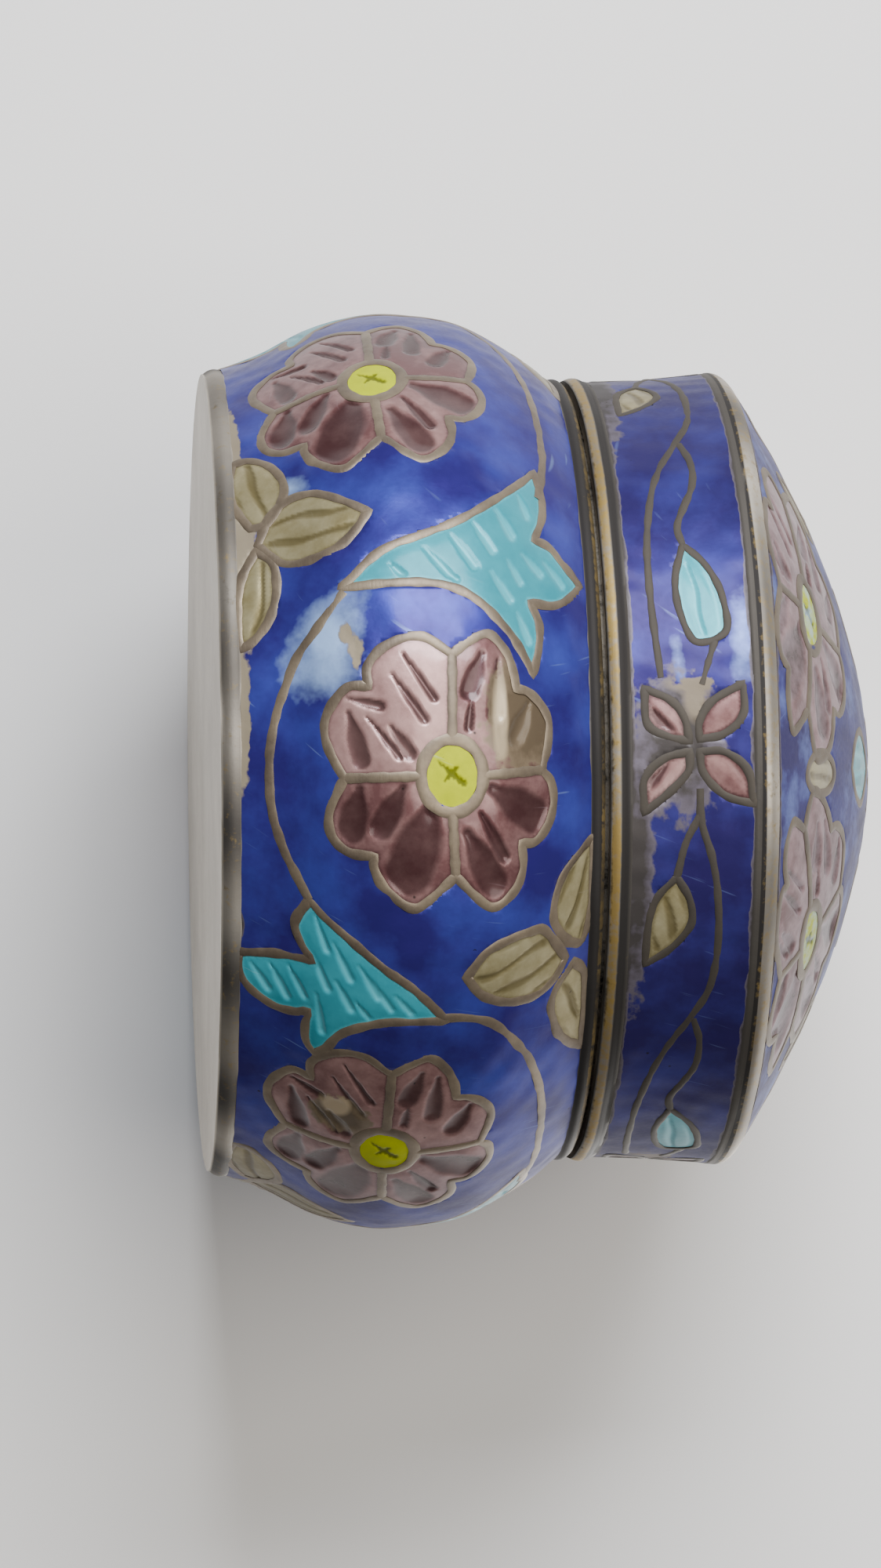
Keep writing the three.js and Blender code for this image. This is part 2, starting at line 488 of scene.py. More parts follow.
def ellipse(radii: tuple[float, float], count: int, centre: tuple[float, float] = (0.0, 0.0)) -> np.ndarray:
    """Points of an ellipse: the centre plus (radius cos t, radius sin t) for t once round."""
    turn = np.linspace(0, 2 * math.pi, count, endpoint=False)
    return np.stack([centre[0] + radii[0] * np.cos(turn), centre[1] + radii[1] * np.sin(turn)], axis=1)


def ripple(around: np.ndarray, along: np.ndarray, size: float, seed: int, waves: int = 18) -> np.ndarray:
    """Soft, uneven waves that close on themselves round the box.

    Args:
        around: Angle about +Z in radians.
        along: Distance up the wall in mm, the same shape.
        size: The usual distance between two crests in mm.
        seed: Picks the waves.
        waves: How many are added.

    Returns:
        The sum of sines of (whole number x angle + rate x distance + phase), scaled to lie mostly within -1 and 1.
    """
    rng = np.random.default_rng(seed)
    heading = rng.uniform(0, 2 * math.pi, waves)
    number = 2 * math.pi / size * rng.uniform(0.6, 1.4, waves)
    turns = np.round(number * np.cos(heading) * MIDDLE_RADIUS)
    rate = number * np.sin(heading)
    phase = rng.uniform(0, 2 * math.pi, waves)
    total = sum(np.sin(around * turns[k] + along * rate[k] + phase[k]) for k in range(waves))
    return total * 0.7 / math.sqrt(waves)


@dataclass(frozen=True)
class Rub:
    """An oval place where the glass is worn or knocked: its middle and radii in the plan, and how far it has gone."""

    centre: tuple[float, float]
    radii: tuple[float, float]
    amount: float = 1.0
    light: bool = False

    def on(self, plan: np.ndarray) -> np.ndarray:
        """The amount at the middle, half of it on the edge, 0 well outside: 1 less half the distance in radii."""
        away = np.hypot(*np.moveaxis((plan - self.centre) / self.radii, -1, 0))
        return self.amount * np.clip(1.0 - 0.5 * away, 0, 1)


def wear(rubs: tuple[Rub, ...], plan: np.ndarray, light_only: bool = False) -> np.ndarray:
    """The deepest of several worn places at each point, or only of those that are rubbed light; 0 where none is."""
    counted = [rub.on(plan) for rub in rubs if rub.light or not light_only]
    return np.max(counted or [np.zeros(plan.shape[:-1])], axis=0)


def ease(value: np.ndarray) -> np.ndarray:
    """Goes smoothly from 0 to 1 as the value does: 3 v^2 - 2 v^3."""
    v = np.clip(value, 0, 1)
    return v * v * (3 - 2 * v)


def lost(worn: np.ndarray) -> np.ndarray:
    """How much of the glass is gone from a worn place: none up to 0.45, all from 0.7, and smoothly between."""
    return ease(4 * worn - 1.8)


def round_wall(around: np.ndarray, angle: float, radius: float) -> np.ndarray:
    """The distance round a wall of that radius from an angle in degrees, the short way, in mm."""
    turn = (around - math.radians(angle) + math.pi) % (2 * math.pi) - math.pi
    return turn * radius


def spread_round(along: np.ndarray, count: int) -> tuple[np.ndarray, np.ndarray]:
    """Spreads distances along an outline evenly round the box.

    Args:
        along: The distances, shape (n,).
        count: How many points go round.

    Returns:
        The distance and the angle in radians at each point, both of shape (n, count).
    """
    angle = np.linspace(0, 2 * math.pi, count, endpoint=False)
    return np.broadcast_to(along[:, None], (len(along), count)), np.broadcast_to(angle, (len(along), count))


class TurnedSkin:
    """An outside surface of revolution, found by the distance along its outline and the angle about +Z."""

    def __init__(self, outline: np.ndarray) -> None:
        """Finds the outline's run and its outward normals.

        Args:
            outline: Radius and height in mm, shape (n, 2), going up.
        """
        step = np.diff(outline, axis=0)
        self.radius, self.height = outline.T
        self.run = np.concatenate([[0.0], np.cumsum(np.hypot(*step.T))])
        slope = np.gradient(outline, self.run, axis=0)
        slope /= np.hypot(*slope.T)[:, None]
        self.out = np.stack([slope[:, 1], -slope[:, 0]], axis=1)

    @property
    def length(self) -> float:
        """The length of the outline in mm."""
        return float(self.run[-1])

    def radius_at(self, along: np.ndarray) -> np.ndarray:
        """The radius at a distance along the outline."""
        return np.interp(along, self.run, self.radius)

    def point(self, along: np.ndarray, angle: np.ndarray, lift: np.ndarray | float) -> np.ndarray:
        """Places points.

        Args:
            along: Distance along the outline in mm.
            angle: Angle from -Y towards +X in radians.
            lift: Height above the skin in mm.

        Returns:
            Points (r sin angle, -r cos angle, z), where r and z are the outline's, moved by the lift along its
            normal.
        """
        r = self.radius_at(along) + lift * np.interp(along, self.run, self.out[:, 0])
        z = np.interp(along, self.run, self.height) + lift * np.interp(along, self.run, self.out[:, 1])
        return np.stack([r * np.sin(angle), -r * np.cos(angle), z], axis=-1)

    @staticmethod
    def flat(points: np.ndarray, about: float) -> np.ndarray:
        """Unrolls points near an angle: their height, and the angle from there times the middle radius."""
        turn = np.arctan2(points[:, 0], -points[:, 1]) - about
        return np.stack([points[:, 2], ((turn + math.pi) % (2 * math.pi) - math.pi) * MIDDLE_RADIUS], axis=1)

    def lay(self, plan: np.ndarray, lift: np.ndarray | float, spot: "Spot") -> np.ndarray:
        """Lays a plan on the skin.

        Args:
            plan: Points of the plan, shape (..., 2).
            lift: Height above the skin in mm.
            spot: Where the plan's origin lies.

        Returns:
            Points in space. The first coordinate goes up the wall, and the second, over the radius there, round it.
        """
        along = spot.along + plan[..., 0]
        reach = plan[..., 1] * np.where(plan[..., 1] < 0, spot.before, spot.after)
        return self.point(along, math.radians(spot.angle) + reach / self.radius_at(along), lift)


@dataclass(frozen=True)
class DomeSkin:
    """The low dome: its height falls from the crown as a power of the radius."""

    edge: float = 24.8
    crown: float = 42.4
    rise: float = 9.35
    power: float = 1.77

    def point(self, radius: np.ndarray, angle: np.ndarray, lift: np.ndarray | float) -> np.ndarray:
        """Places points.

        Args:
            radius: Distance from the axis in mm.
            angle: Angle from -Y towards +X in radians.
            lift: Height above the dome in mm.

        Returns:
            Points at the crown's height less the rise times (radius / edge) ^ power, moved along the normal by the
            lift.
        """
        share = np.maximum(radius, 0) / self.edge
        slope = self.rise * self.power / self.edge * share ** (self.power - 1)
        size = np.hypot(1, slope)
        r = radius + lift * slope / size
        z = self.crown - self.rise * share**self.power + lift / size
        return np.stack([r * np.sin(angle), -r * np.cos(angle), z], axis=-1)

    @staticmethod
    def flat(points: np.ndarray, about: float) -> np.ndarray:
        """Looks straight down at the points."""
        return points[:, :2]

    def lay(self, plan: np.ndarray, lift: np.ndarray | float, spot: "Spot") -> np.ndarray:
        """Lays a plan on the dome from above.

        Args:
            plan: Points of the plan, shape (..., 2).
            lift: Height above the dome in mm.
            spot: Where the plan's origin lies.

        Returns:
            Points in space. The first coordinate goes straight towards the crown, and the second square to that.
        """
        inward, across = spot.along - plan[..., 0], plan[..., 1]
        angle = math.radians(spot.angle) + np.arctan2(across, inward)
        return self.point(np.hypot(inward, across), angle, lift)


@dataclass(frozen=True)
class Spot:
    """Where a plan's origin lies on a skin, and how far the plan is drawn out before and after it."""

    skin: TurnedSkin | DomeSkin
    along: float
    angle: float
    before: float = 1.0
    after: float = 1.0

    def lay(self, plan: np.ndarray, lift: np.ndarray | float) -> np.ndarray:
        """Lays a plan on the skin at this spot."""
        return self.skin.lay(plan, lift, self)


def turned(rings: np.ndarray, looped: bool) -> Patch:
    """Closes rings of points into a solid of revolution.

    Args:
        rings: Points, shape (rings, points round, 3), in order along the outline.
        looped: True if the last ring joins the first; otherwise both end rings shrink to a pole.

    Returns:
        The closed patch. Two triangles stand for each four-sided facet, and a pole is one point at the ring's mean.
    """
    count, around = rings.shape[:2]
    number = np.arange(count * around).reshape(count, around)
    rows = np.vstack([number, number[:1]]) if looped else number
    a, b = rows[:-1], rows[1:]
    c, d = np.roll(b, -1, axis=1), np.roll(a, -1, axis=1)
    sides = np.stack([np.stack([a, b, c], -1), np.stack([a, c, d], -1)], 2).reshape(-1, 3)
    points = rings.reshape(-1, 3)
    if looped:
        return Patch(points, sides).facing_out()
    first, last = rows[0], rows[-1]
    poles = np.stack([rings[0].mean(0), rings[-1].mean(0)])
    low = np.stack([np.roll(first, -1), np.full(around, len(points)), first], 1)
    high = np.stack([last, np.full(around, len(points) + 1), np.roll(last, -1)], 1)
    return Patch(np.vstack([points, poles]), np.vstack([sides, low, high])).facing_out()


@dataclass(frozen=True)
class SilverShell:
    """A shell of silver turned about +Z, and the angle and place of each of its points while it is being marked."""

    outline: np.ndarray
    pole_mark: float = 0.1

    @property
    def angle(self) -> np.ndarray:
        """The angles round the shell in radians, shape (1, points round)."""
        return np.linspace(0, 2 * math.pi, SHELL_POINTS, endpoint=False)[None]

    @property
    def radius(self) -> np.ndarray:
        """The outline's radii, shape (points along, 1)."""
        return self.outline[:, :1]

    @property
    def height(self) -> np.ndarray:
        """The outline's heights, shape (points along, 1)."""
        return self.outline[:, 1:]

    def turn(self, dent: np.ndarray, **marks: np.ndarray) -> Patch:
        """Turns the outline.

        Args:
            dent: How far each point stands out from the outline's radius, in mm.
            marks: The values of soot, gilt and slate at each point.

        Returns:
            The closed shell with its marks, and the pole mark in the middle of its underside and its inside.
        """
        radius = self.radius + dent
        rings = np.stack([radius * np.sin(self.angle), -radius * np.cos(self.angle),
                          np.broadcast_to(self.height, radius.shape)], axis=-1)
        patch = turned(rings, looped=False)
        poles = np.full(2, self.pole_mark)
        patch.marks = {name: np.concatenate([np.broadcast_to(mark, radius.shape).ravel(), poles])
                       for name, mark in marks.items()}
        return patch


def glass_coat(points: np.ndarray, top: np.ndarray, looped: bool, **marks: np.ndarray) -> Patch:
    """Closes a coat of ground glass and marks its upper side.

    Args:
        points: The coat's points, shape (rings, points round, 3), along its upper side and back along its underside.
        top: True for the rings of its upper side, shape (rings, 1).
        looped: True for a band, and False for a coat that is closed at two poles.
        marks: The marks' values at each point, which count on the upper side alone.

    Returns:
        The closed coat, without cuts and with the marks at 0 below and at any pole.
    """
    patch = turned(points, looped)
    poles = np.zeros(len(patch.points) - points.shape[0] * points.shape[1])
    patch.marks = {name: np.concatenate([(mark * top).ravel(), poles]) for name, mark in marks.items()}
    patch.marks["cut"] = np.zeros(len(patch.points))
    return patch


def wire_line(edge: tuple[float, float], span: tuple[float, float], proud: float) -> np.ndarray:
    """Draws the outline of a half-round wire.

    Args:
        edge: Radius and height of its lower edge in mm.
        span: How far its upper edge lies from there, in radius and height.
        proud: How far its middle stands out.

    Returns:
        Nine points from edge to edge, moved outwards by proud times the sine of half a turn shared among them.
    """
    share = np.linspace(0, 1, 9)[:, None]
    line = np.array(edge) + share * np.array(span)
    line[:, :1] += np.sin(math.pi * share) * proud
    return line


# Cells of metal and their enamel


@dataclass(frozen=True)
class Hatch:
    """A graver's cuts side by side across a cell, each steep on one flank and long on the other."""

    heading: float
    pitch: float
    share: float
    depth: float = 0.085

    def cut(self, plan: np.ndarray) -> np.ndarray:
        """How deep the cuts go.

        Args:
            plan: Points of the plan, shape (n, 2).

        Returns:
            0 between the cuts and 1 at their deepest. Across the heading, the cut takes its share of each pitch,
            rises over its first third and falls over the rest, and a slow sine keeps it hand-made.
        """
        turn = math.radians(self.heading)
        along = plan[:, 0] * math.cos(turn) + plan[:, 1] * math.sin(turn)
        across = plan[:, 1] * math.cos(turn) - plan[:, 0] * math.sin(turn)
        phase = (across / self.pitch + 0.09 * np.sin(1.3 * along + 2 * across)) % 1
        peak = 0.32 * self.share
        return np.clip(np.minimum(phase / peak, (self.share - phase) / (self.share - peak)), 0, 1)


@dataclass(frozen=True)
class Gouges:
    """Single scoops of a round graver: each starts shallow and thin, widens, and stops at a steep round end."""

    strokes: tuple[tuple[float, float, float, float, float], ...]
    depth: float = 0.12

    def cut(self, plan: np.ndarray) -> np.ndarray:
        """How deep the scoops go.

        Args:
            plan: Points of the plan, shape (n, 2).

        Returns:
            The deepest of the scoops, 0 to 1. A stroke is b, a of its start, b, a of its end, and its width. Across
            it the scoop is 1 - (distance / half width) ^ 2, and the half width and depth grow along it.
        """
        stroke = np.array(self.strokes)
        start, side = stroke[:, :2], stroke[:, 2:4] - stroke[:, :2]
        away = plan[:, None, :] - start[None]
        share = np.clip((away * side).sum(-1) / (side**2).sum(-1), 0, 1)
        off = np.hypot(*np.moveaxis(away - share[..., None] * side, -1, 0))
        half = stroke[:, 4] / 2 * (0.35 + 0.65 * ease(1.6 * share))
        return (np.clip(1 - (off / half) ** 2, 0, 1) * (0.55 + 0.45 * share)).max(1)


def inside(points: np.ndarray, ring: np.ndarray) -> np.ndarray:
    """Finds the points inside a closed line.

    Args:
        points: The points, shape (n, 2).
        ring: The closed line's points, shape (m, 2).

    Returns:
        True for each point from which a ray to the right crosses the line an odd number of times.
    """
    x, y = points[:, :1], points[:, 1:]
    x0, y0 = ring.T
    x1, y1 = np.roll(ring, -1, axis=0).T
    crosses = (y0 > y) != (y1 > y)
    at = x0 + (x1 - x0) * (y - y0) / np.where(y1 == y0, 1, y1 - y0)
    return (crosses & (x < at)).sum(1) % 2 == 1


def clearance(points: np.ndarray, ring: np.ndarray) -> np.ndarray:
    """Measures how far points are from a closed line.

    Args:
        points: The points, shape (n, 2).
        ring: The closed line's points, shape (m, 2).

    Returns:
        The distance from each point to the nearest stretch of the line.
    """
    side = np.roll(ring, -1, axis=0) - ring
    away = points[:, None, :] - ring[None]
    share = np.clip((away * side).sum(-1) / (side**2).sum(-1), 0, 1)
    return np.hypot(*np.moveaxis(away - share[..., None] * side, -1, 0)).min(1)


@dataclass(frozen=True)
class CellWork:
    """How a cell of enamel is made, in mm.

    Sink and under are how far its top and its underside lie below the skin, and pillow is how much higher its top is
    from the rise inwards. Cuts fade out over the margin, and worn glass is lower by worn. Along the hem beside the
    walls a dark line is painted: partly the shade of the crevice where glass meets wall, partly thicker glass and
    grime. The mesh is made of triangles with sides of the given length, in rows that are closer by the factor row.
    """

    sink: float = 0.09
    pillow: float = 0.04
    rise: float = 1.1
    margin: float = 0.35
    hem: float = 0.42
    hem_edge: float = 0.12
    worn: float = 0.05
    under: float = 0.4
    mesh: float = 0.15
    row: float = 0.87
    haze: float = 0.0

    def fill(self, ring: np.ndarray, spot: Spot, hatch: Hatch | Gouges, tone: float = 0.0,
             bare: tuple[Rub, ...] = (), seam: float = 0.7, crisp: float = 2.4) -> Patch:
        """Fills a cell with enamel.

        Args:
            ring: The cell's closed line in the plan.
            spot: Where the plan lies.
            hatch: The graver's cuts.
            tone: How thin the glass is: more makes it paler, and less than 0 deeper.
            bare: Places where the glass has come away.
            seam: How dark the line is that is painted where the glass meets the wall, for the shade of that crevice
            and for thicker glass and grime there.
            crisp: How sharply a cut's colour starts at its edge.

        Returns:
            A closed patch. Its top lies at minus sink, rises by pillow away from the walls, and falls by the cuts'
            depth, and its underside lies at minus under. The cut mark is the greater of the cut times crisp, at most
            1, and the dark line painted beside the walls.
        """
        low, high = ring.min(0), ring.max(0)
        b, a = np.meshgrid(np.arange(low[0], high[0], self.mesh), np.arange(low[1], high[1], self.mesh * self.row))
        b[1::2] += self.mesh / 2
        grid = np.stack([b.ravel(), a.ravel()], axis=1)
        grid = grid[inside(grid, ring)]
        grid = grid[clearance(grid, ring) > 0.5 * self.mesh]
        count = len(ring)
        edges = [(k, (k + 1) % count) for k in range(count)]
        plan, _, faces, *_ = delaunay_2d_cdt(np.vstack([ring, grid]).tolist(), edges, [], 1, 1e-6)
        plan = np.array(plan)
        away = clearance(plan, ring)
        cut = hatch.cut(plan) * ease(away / self.margin - 0.7)
        gone, rubbed = wear(bare, plan), wear(bare, plan, light_only=True)
        lift = -self.sink + self.pillow * ease(away / self.rise) - cut * hatch.depth
        # A dark line painted along the walls, standing for crevice shade as well as thicker glass and grime; it joins
        # the cut mark.
        dark = seam * (1 - ease((away - self.hem + self.hem_edge) / self.hem_edge))
        cut = np.maximum(np.clip(crisp * cut, 0, 1), dark)
        lift = lift - self.worn * lost(gone)
        top = spot.lay(plan, lift)
        base, _, floor, *_ = delaunay_2d_cdt(ring.tolist(), edges, [], 1, 1e-6)
        bottom = spot.lay(np.array(base), -self.under)
        here = np.arange(count)
        there = (here + 1) % count
        down = here + len(top)
        after = there + len(top)
        skirt = np.vstack([np.stack([here, down, there], 1), np.stack([there, down, after], 1)])
        winding = self._turned_alike(plan, np.array(faces), ring)
        lid = self._turned_alike(np.array(base), np.array(floor), ring)[:, ::-1] + len(top)
        patch = Patch(np.vstack([top, bottom]), np.vstack([winding, lid, skirt]))
        rest = np.zeros(len(bottom))
        patch.marks = {"cut": np.concatenate([cut, rest]), "bare": np.concatenate([gone, rest]),
                       "rubbed": np.concatenate([rubbed, rest]),
                       "tone": np.concatenate([np.full(len(top), tone), rest]),
                       "frost": np.concatenate([np.full(len(top), self.haze), rest])}
        return patch.facing_out()

    @staticmethod
    def _turned_alike(plan: np.ndarray, faces: np.ndarray, ring: np.ndarray) -> np.ndarray:
        """Winds triangles the way that the ring goes, so that the skirt fits them.

        Args:
            plan: The triangles' points, shape (n, 2).
            faces: Three point numbers for each triangle.
            ring: The ring's points, whose area has the sign that the triangles get.

        Returns:
            The triangles, with those of the other sign turned round.
        """
        x, y = ring.T
        sense = np.sign((x * np.roll(y, -1) - y * np.roll(x, -1)).sum())
        a, b, c = (plan[faces[:, k]] for k in range(3))
        area = (b[:, 0] - a[:, 0]) * (c[:, 1] - a[:, 1]) - (b[:, 1] - a[:, 1]) * (c[:, 0] - a[:, 0])
        wound = faces.copy()
        wound[area * sense < 0] = faces[area * sense < 0][:, ::-1]
        return wound


@dataclass(frozen=True)
class WallWork:
    """How a wall of metal between two cells is made, in mm.

    Crown, shoulder and under are how far its top, its edges and its underside lie below the skin. Its width varies by
    the share uneven, in swells of about the given length. The section goes from edge to edge, in half widths.
    """

    width: float = 0.58
    crown: float = 0.015
    shoulder: float = 0.06
    under: float = 0.4
    uneven: float = 0.13
    swell: float = 2.6
    section: tuple[float, ...] = (-1.0, -1.0, -0.72, -0.3, 0.3, 0.72, 1.0, 1.0)

    def build(self, line: np.ndarray, spot: Spot, closed: bool, width: float | None = None) -> Patch:
        """Carries the wall's section along a line.

        Args:
            line: The middle of the wall in the plan, evenly spaced.
            spot: Where the plan lies.
            closed: True if the line comes back to its start.
            width: The wall's width, if it isn't the usual one.

        Returns:
            A closed patch. The section is a low arch on straight sides, and its width swells and shrinks a little
            along the line, by the sum of two sines.
        """
        before = np.roll(line, 1, axis=0) if closed else np.vstack([line[:1], line[:-1]])
        after = np.roll(line, -1, axis=0) if closed else np.vstack([line[1:], line[-1:]])
        run = after - before
        run /= np.maximum(np.hypot(*run.T), 1e-9)[:, None]
        square = np.stack([-run[:, 1], run[:, 0]], axis=1)
        count = len(line)
        place = np.arange(count) / count * 2 * math.pi
        waves = max(3, round(count * STEP / self.swell))
        half = (width or self.width) / 2 * (1 + self.uneven * (0.6 * np.sin(waves * place + line[0, 0])
                                                               + 0.4 * np.sin((2 * waves + 1) * place)))
        across = np.array(self.section)
        corners = len(across)
        arch = self.crown + (self.shoulder - self.crown) * np.abs(across) ** 3
        lift = -np.where(np.arange(corners) % (corners - 1) == 0, self.under, arch)
        plan = line[:, None, :] + (half[:, None] * across)[..., None] * square[:, None, :]
        rows = spot.lay(plan, np.broadcast_to(lift, plan.shape[:2]))
        number = np.arange(count * corners).reshape(count, corners)
        a = number if closed else number[:-1]
        b = np.roll(number, -1, axis=0) if closed else number[1:]
        c, d = np.roll(b, -1, axis=1), np.roll(a, -1, axis=1)
        faces = np.stack([np.stack([a, b, c], -1), np.stack([a, c, d], -1)], 2).reshape(-1, 3)
        if not closed:
            fan = np.stack([np.zeros(corners - 2, int), np.arange(1, corners - 1), np.arange(2, corners)], 1)
            faces = np.vstack([faces, fan, fan[:, ::-1] + corners * (count - 1)])
        return Patch(rows.reshape(-1, 3), faces).facing_out()


@dataclass
class Inlay:
    """The cells and walls of one surface, gathered by finish until they are made into pieces."""

    name: str
    cells: CellWork = field(default_factory=CellWork)
    walls: WallWork = field(default_factory=WallWork)
    slate: float = 0.0
    gathered: dict[Slot, list[Patch]] = field(default_factory=dict)
    rings: list[tuple[np.ndarray, Spot]] = field(default_factory=list)

    def cell(self, slot: Slot, ring: np.ndarray, spot: Spot, **how: object) -> None:
        """Adds a cell of enamel.

        Args:
            slot: Its finish.
            ring: Its closed line in the plan.
            spot: Where the plan lies.
            how: What else CellWork.fill is told.
        """
        self.gathered.setdefault(slot, []).append(self.cells.fill(ring, spot, **how))
        self.rings.append((spot.lay(ring, 0.0), spot))

    def covers(self, points: np.ndarray) -> np.ndarray:
        """Finds what lies under the cells.

        Args:
            points: Points on the same skin, shape (n, 3).

        Returns:
            True for each point that is inside a cell's line, once both are unrolled near that cell.
        """
        under = np.zeros(len(points), bool)
        for ring, spot in self.rings:
            middle = ring.mean(0)
            about = math.atan2(middle[0], -middle[1])
            line = spot.skin.flat(ring, about)
            flat = spot.skin.flat(points, about)
            near = np.flatnonzero(((flat > line.min(0)) & (flat < line.max(0))).all(1))
            under[near] |= inside(flat[near], line)
        return under

    def wall(self, line: np.ndarray, spot: Spot, closed: bool = False, width: float | None = None) -> None:
        """Adds a wall of metal, as dark as this surface's metal has gone.

        Args:
            line: Its middle in the plan.
            spot: Where the plan lies.
            closed: True if the line comes back to its start.
            width: Its width in mm, if it isn't the usual one.
        """
        wall = self.walls.build(line, spot, closed, width)
        wall.marks = {"slate": np.full(len(wall.points), self.slate)}
        self.gathered.setdefault(Slot.SILVER, []).append(wall)

    def walled_cell(self, slot: Slot, outline: Outline | np.ndarray, spot: Spot, width: float | None = None,
                    **how: object) -> None:
        """Adds a cell with a wall all round it.

        Args:
            slot: The cell's finish.
            outline: Its line in the plan, drawn or as points.
            spot: Where the plan lies.
            width: The wall's width in mm, if it isn't the usual one.
            how: What else CellWork.fill is told.
        """
        ring = outline.traced() if isinstance(outline, Outline) else outline
        self.cell(slot, ring, spot, **how)
        self.wall(ring, spot, closed=True, width=width)

    def make(self, finishes: "Finishes") -> None:
        """Makes one piece of each finish that has been gathered.

        Args:
            finishes: The finishes to use.
        """
        for slot, patches in self.gathered.items():
            suffix = "cell_walls" if slot is Slot.SILVER else slot.value
            make_piece(f"{self.name}_{suffix}", join(patches), finishes.inlaid[slot], slot)


# Finishes


@dataclass
class Finishes:
    """Every finish of the box, made once."""

    inlaid: dict[Slot, bpy.types.Material] = field(default_factory=dict)
    plate: bpy.types.Material | None = None
    dulled: bpy.types.Material | None = None

    def make(self) -> "Finishes":
        """Makes the materials.

        Returns:
            Itself, with the enamels and the wire by slot, the silver plate of the bowl and lid, and the lid's blue.
        """
        # Deep blue glass over silver: nearly black in the shade, strong and clear where the metal throws light back.
        cobalt = GlassEnamel("Cobalt glass enamel over silver", Slot.COBALT, 0x261F5E, 0x3A469A, 0x0C0C50,
                             bare=0x3C3836, edge=0x565058, rubbed=0x867B68, mottle=3.0, coat=0.11)
        # The same glass, hardly polished, for the lid's band and dome, and painted darker as shade, which also dims
        # the window's reflection in it.
        handled = GlassEnamel("Cobalt glass enamel, duller, painted darker as shade", Slot.COBALT, 0x261F4E, 0x363A80, 0x0C0C46,
                              bare=0x3C3836, edge=0x565058, rubbed=0x6A6052, frost=0x7C90C4, mottle=3.0, coat=0.05,
                              roughness=0.42)
        # Paler and milkier glass, so its cuts show as light strokes.
        turquoise = GlassEnamel("Turquoise glass enamel over silver", Slot.TURQUOISE, 0x22747F, 0x368E98, 0x4CA2AC,
                                metallic=0.14, roughness=0.4, frost=0x7CAAB0)
        # Manganese glass, brown violet, turning pink where it is thin over bright metal.
        aubergine = GlassEnamel("Aubergine glass enamel over silver", Slot.AUBERGINE, 0x5A3C3B, 0xA6847E, 0x2C1718,
                                bare=0x544838, edge=0x6A5C4A, rubbed=0x9A8A70, frost=0x8C787C, coat=0.34)
        # Nearly clear glass with a straw tint, so the greyed silver shows through it.
        straw = GlassEnamel("Straw glass enamel over silver", Slot.STRAW, 0x7C7250, 0xB0A888, 0x544A2C,
                            metallic=0.5, frost=0x969080)
        # Opaque-looking bright yellow with its cuts dark.
        yellow = GlassEnamel("Yellow glass enamel over silver", Slot.YELLOW, 0x949C00, 0xAEB400, 0x16180A,
                             metallic=0.0, mottle=0.7, coat=0.01, roughness=0.55)
        # Silver strip, satin and greyed by air and hands to a warm brown.
        wire = OldSilver("Rubbed silver cell wall", 0x756856, 0x574C40, slate=0x35312C, roughness=0.45,
                         metallic=0.6)
        # Silver sheet, turned and handled: satin and pale, under a faint broad tarnish.
        plate = OldSilver("Worn silver sheet", 0xC4BCAE, 0x94897A, gilt=0x86703E, slate=0x2C2927,
                          roughness=0.42, metallic=0.75, cloud_size=9.0, cloud_contrast=0.45)
        self.inlaid = {enamel.slot: enamel.make() for enamel in (cobalt, turquoise, aubergine, straw, yellow)}
        self.inlaid[Slot.SILVER] = wire.make()
        self.plate = plate.make()
        self.dulled = handled.make()
        return self


# The flower


@dataclass(frozen=True)
class Heart:
    """One of a flower's four heart-shaped cells: its outer line, the angle where it starts, and its cuts."""

    lobes: Outline
    start: float
    cuts: Gouges


EYE_CUTS = Gouges(((-0.9, -0.9, 0.65, 0.45, 0.42), (-0.5, 0.35, 0.2, -0.4, 0.36), (0.1, 0.0, 0.7, 0.35, 0.3)), 0.08)


